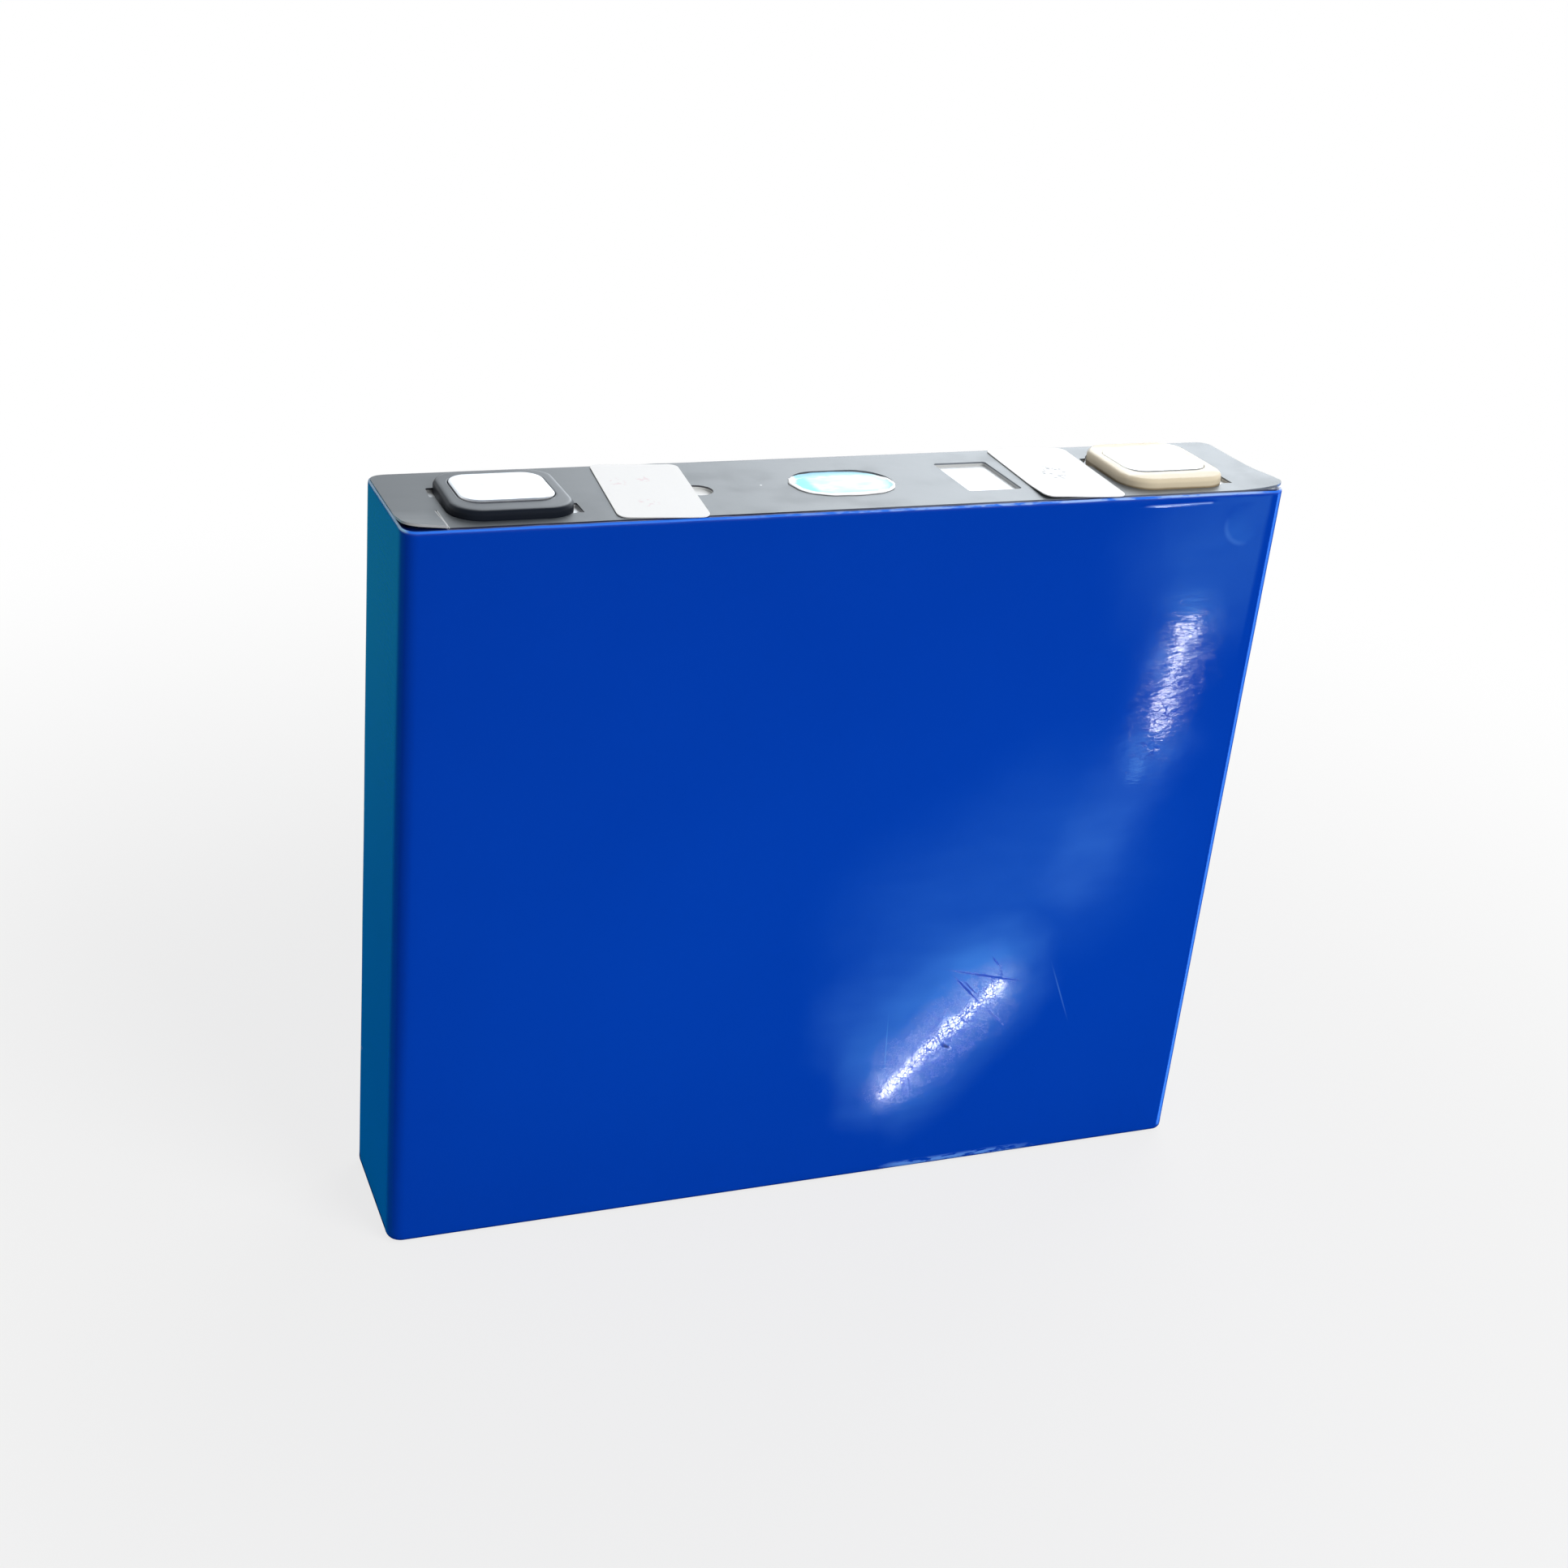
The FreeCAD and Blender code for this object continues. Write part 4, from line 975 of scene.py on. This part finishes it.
def make_camera():
    """Looks down at the front left of the cell."""
    camera = bpy.data.objects.new("camera", bpy.data.cameras.new("camera"))
    bpy.context.scene.collection.objects.link(camera)
    turn, tilt = math.radians(CAMERA_TURN), math.radians(CAMERA_TILT)
    ahead = Vector((math.sin(turn) * math.cos(tilt), math.cos(turn) * math.cos(tilt), -math.sin(tilt)))
    roll = Quaternion((0, 0, 1), math.radians(CAMERA_ROLL))
    camera.rotation_mode = "QUATERNION"
    camera.rotation_quaternion = ahead.to_track_quat("-Z", "Y") @ roll
    camera.location = CAMERA_PLACE
    camera.data.lens = CAMERA_LENS
    camera.data.shift_x, camera.data.shift_y = CAMERA_SHIFT
    bpy.context.scene.camera = camera


def seen_directly(f):
    """Gives 1 for rays from the camera, and for those that gloss or glass sends on."""
    camera, glossy, through = (f.node("ShaderNodeLightPath", output=ray) for ray in SEEING_RAYS)
    return f.maths("MAXIMUM", f.maths("MAXIMUM", camera, glossy), through)


def make_floor():
    """A wide white floor that keeps a soft shadow under the cell."""
    f = Finish("white_floor")
    f.set(Base_Color=(0.50, 0.50, 0.50), Roughness=0.9, Specular_IOR_Level=0.0)
    lit = Value(f, f.shader.outputs[0])
    far = f.rise(f.distance(f.x, f.y), 90.0, 360.0, 0.78, 1.0)
    sockets = {0: seen_directly(f) * far, 1: lit, 2: f.glow(WHITE_LIGHT)}
    f.show(f.node("ShaderNodeMixShader", sockets=sockets))
    add_card("floor", (-3.0, -3.0), (3.0, 3.0), FLOOR_Z, f.material)


def add_card(name, low, high, height, finish):
    """Adds a flat rectangle of the studio, in metres."""
    bm = bmesh.new()
    bmesh.ops.create_grid(bm, x_segments=1, y_segments=1, size=0.5)
    size = Vector(high) - Vector(low)
    middle = (Vector(high) + Vector(low)) / 2
    bmesh.ops.scale(bm, vec=(size.x, size.y, 1), verts=bm.verts)
    bmesh.ops.translate(bm, vec=(middle.x, middle.y, height), verts=bm.verts)
    mesh = bpy.data.meshes.new(name)
    bm.to_mesh(mesh)
    bm.free()
    mesh.materials.append(finish)
    card = bpy.data.objects.new(name, mesh)
    bpy.context.scene.collection.objects.link(card)
    return card


def add_lit_card(name, low, high, height, colour, f=None):
    """Adds a card that shines in a colour or a pattern, and shows only in reflections."""
    f = f or Finish(name)
    f.show(f.glow(colour))
    card = add_card(name, low, high, height, f.material)
    card.visible_camera = False
    card.visible_diffuse = False
    card.visible_transmission = False
    card.visible_shadow = False
    return card


def add_shine(f, light, colour, amount):
    """Adds a colour to the light, scaled by an amount."""
    more = f.node("ShaderNodeVectorMath", {"operation": "SCALE"}, {0: colour, "Scale": amount})
    return f.node("ShaderNodeVectorMath", {"operation": "ADD"}, {0: light, 1: more})


def band(f, x, z, start, end, solid, fade):
    """Gives 1 within a distance of a line between two points, falling smoothly to 0 at another."""
    along, beside, half_run = along_line(x, z, start, end)
    over = f.maths("MAXIMUM", abs(along) - half_run, 0.0)
    return f.rise(f.distance(over, beside), solid, fade, 1.0, 0.0)


def bands(f, x, z, lines):
    """Gives the strongest of the bands along several lines."""
    most = 0.0
    for line in lines:
        most = f.maths("MAXIMUM", most, band(f, x, z, *line))
    return most


def edge_light(f):
    """The light that the cell's right front edge shows as a narrow azure line, from a fan of the floor."""
    slope = (f.y + 13.35) / f.maths("MAXIMUM", f.x - 71.5, 1.0)
    fan = f.rise(slope, -0.38, -0.24) * f.rise(slope, -0.2, 0.5, 1.0, 0.08) * f.rise(f.x, 73.0, 76.0)
    return add_shine(f, DARK_ROOM, (0.55, 2.2, 7.2), fan)


def edge_card():
    """The card to the right of the cell, behind its front."""
    f = Finish("edge_card")
    add_lit_card("edge_card", (RIGHT_SEAM_X, FRONT_SEAM_Y), (0.6, 0.6), SIDE_CARD_Z, edge_light(f), f)


def soft_light(f, x, z, place, light):
    """Adds the soft patches, with uneven edges and faint wisps in them."""
    drift = f.clouds(11.0, 2.0, 0.5, place) - 0.5
    uneven = f.clouds(7.0, 3.0, 0.6, f.scaled(0.5, 1.0, 1.6, place, tilt=0.35))
    patch_x, patch_z = x + drift * 9.0, z + drift * 7.0
    for start, end, solid, fade, colour in SOFT_PATCHES:
        amount = band(f, patch_x, patch_z, start, end, solid, fade)
        if fade < 50:
            amount = amount * (uneven + 0.45)
        light = add_shine(f, light, colour, amount)
    return light


def low_streak(f, x, z, place, light):
    """Adds the streak low on the face: a broken white core in a lavender haze."""
    cracks = f.rise(f.cells(2.8, f.bent(place)), 0.0, 0.07, 0.45, 1.0)
    speckle = f.clouds(0.5, 2.0, 0.6, place) - 0.5
    broad = f.clouds(2.4, 2.0, 0.5, place) - 0.5
    patchy = f.rise(broad, -0.16, 0.10)
    low_x, low_z = x + speckle * 1.8 + broad * 2.4, z + speckle * 1.8
    haze = band(f, low_x, low_z, *LOW_HAZE) * patchy * (cracks * 0.55 + 0.45)
    light = add_shine(f, light, (3.0, 3.9, 4.5), haze)
    return add_shine(f, light, WHITE_LIGHT, bands(f, low_x, low_z, LOW_CORES) * cracks * 32.0)


def high_streak(f, x, z, place, light):
    """Adds the streak high on the face, broken sideways by the film's wrinkles."""
    squeezed = f.scaled(0.30, 1.0, 1.0, place)
    ripple = f.clouds(1.4, 3.0, 0.6, squeezed) - 0.5
    lines = f.rise(f.clouds(1.1, 2.0, 0.6, squeezed), 0.42, 0.58)
    mottle = f.rise(f.clouds(0.8, 3.0, 0.6, place), 0.30, 0.52, 0.45, 1.0)
    high_x = x + ripple * 4.5
    light = add_shine(f, light, (8.5, 10.0, 11.5), band(f, high_x, z, *HIGH_HAZE) * lines * mottle)
    light = add_shine(f, light, (2.2, 3.6, 5.4), band(f, high_x, z, *HIGH_WISPS) * lines)
    faint_x, faint_z = x + ripple * 3.0, z + ripple * 1.5
    for line in FAINT_LINES:
        light = add_shine(f, light, (1.1, 2.6, 3.8), band(f, faint_x, faint_z, *line) * mottle)
    core = bands(f, x + ripple * 2.2, z + ripple * 0.8, HIGH_CORES)
    return add_shine(f, light, WHITE_LIGHT, core * mottle * 40.0)


def front_card():
    """The card before the cell: its light patches show as streaks and haze on the front face."""
    f = Finish("front_card")
    front = node_box("wrap_film")[0].y
    eye = CAMERA_PLACE / MM
    reach = (front - f.y) / (front - eye.y) + 1.0
    x = (f.x - eye.x) / reach + eye.x
    z = eye.z - eye.z / reach
    place = f.node("ShaderNodeCombineXYZ", sockets={0: x, 2: z})
    light = soft_light(f, x, z, place, edge_light(f))
    light = low_streak(f, x, z, place, light)
    light = high_streak(f, x, z, place, light)
    add_lit_card("front_card", (-0.6, -1.2), (0.9, FRONT_SEAM_Y), FRONT_CARD_Z, light, f)


def teal_card():
    """The card beside the cell: the narrow left side reflects it."""
    f = Finish("teal_card")
    colour = f.blend(f.rise(f.y, 0.0, 330.0), (0.0, 0.16, 0.38), (0.012, 0.30, 0.41))
    add_lit_card("teal_card", (-0.5, -0.05), (LEFT_SEAM_X, 0.9), SIDE_CARD_Z, colour, f)


def window_card():
    """A soft window behind the cell, brighter to the right: the top reflects it."""
    f = Finish("window_card")
    light = add_shine(f, (0.0, 0.0, 0.0), (0.90, 0.97, 1.03), f.rise(f.x, -10.0, 260.0, 1.0, 3.7))
    card = add_lit_card("window_card", (-0.5, -0.3), (0.9, 0.3), 0.0, light, f)
    card.data.transform(Matrix.Translation((0.0, 0.40, 0.43)) @ Matrix.Rotation(math.pi / 2, 4, "X"))


def add_lamp(name, place, aim, size, power):
    """Adds a rectangular soft light at a place, aimed at a point, in metres. Nothing reflects it."""
    light = bpy.data.lights.new(name, "AREA")
    light.shape = "RECTANGLE"
    light.size, light.size_y = size
    light.energy = power
    lamp = bpy.data.objects.new(name, light)
    bpy.context.scene.collection.objects.link(lamp)
    lamp.location = place
    lamp.rotation_mode = "QUATERNION"
    lamp.rotation_quaternion = (Vector(aim) - Vector(place)).to_track_quat("-Z", "Y")
    lamp.visible_camera = False
    lamp.visible_glossy = False


def make_world():
    """White all round for the eye, and a plain level for the light it gives."""
    world = bpy.data.worlds.new("studio")
    world.use_nodes = True
    bpy.context.scene.world = world
    tree = world.node_tree
    path = tree.nodes.new("ShaderNodeLightPath")
    shade = tree.nodes["Background"]
    shade.inputs["Color"].default_value = (1, 1, 1, 1)
    level = None
    for ray in SEEING_RAYS:
        more = tree.nodes.new("ShaderNodeMath")
        more.operation = "MAXIMUM"
        tree.links.new(path.outputs[ray], more.inputs[0])
        if level:
            tree.links.new(level, more.inputs[1])
        else:
            more.inputs[1].default_value = WORLD_LEVEL
        level = more.outputs[0]
    tree.links.new(level, shade.inputs["Strength"])


def make_studio():
    """Soft lights, the floor, and the cards that the glossy film reflects."""
    bpy.context.scene.view_settings.view_transform = "Standard"
    make_world()
    make_floor()
    add_lit_card("dark_card", (-1.5, -1.5), (1.5, 1.5), DARK_CARD_Z, DARK_ROOM)
    teal_card()
    add_lit_card("sky_card", (-3.0, -5.0), (3.0, 0.42), 1.0, (0.28, 0.31, 0.36))
    edge_card()
    front_card()
    window_card()
    add_lamp("key", (0.42, -0.78, 0.74), (0.0, 0.0, 0.06), (0.6, 0.6), 9.3)
    add_lamp("back_right", (0.30, 0.30, 0.36), (0.03, 0.0, 0.12), (0.34, 0.30), 1.1)


# ---------------------------------------------------------------- all of it

make_camera()
make_wrap()
make_sheet()
pink_marks = ((-36.2, 4.2, 1.8, 3.0), (-31.8, 5.0, 1.4, 2.2), (-34.4, -6.0, 2.2, 2.4))
left_paper = sticker_finish("left_sticker_paper", (0.80, 0.62, 0.66), 0.5, pink_marks)
right_paper = sticker_finish("right_sticker_paper", (0.30, 0.31, 0.36), 0.75, ((37.5, -0.4, 3.4, 4.8),))
make_sticker("left", -6.5, left_paper, left_sticker_lift)
make_sticker("right", -3.0, right_paper, right_sticker_lift)
make_vent_cover()
black = moulded("black_surround", (0.008, 0.011, 0.018), (0.014, 0.017, 0.024), 0.34, level=0.12, sheen=0.9)
# The cream surround gets painted shade low down and a painted highlight round its pad.
cream = moulded("cream_surround", (0.70, 0.60, 0.43), (0.76, 0.67, 0.50), 0.42, foot_glint_and_shade=(0.22, 0.15, 0.07))
make_surround("negative", 0.82, 0.10, black)
make_surround("positive", 0.75, 0.05, cream)
make_pad("negative", brushed("negative_pad_metal", (0.90, 0.91, 0.92), (0.80, 0.81, 0.83), 0.36))
make_pad("positive", brushed("positive_pad_metal", (0.94, 0.92, 0.87), (0.90, 0.88, 0.82), 0.40))
dress_nodes()
make_studio()
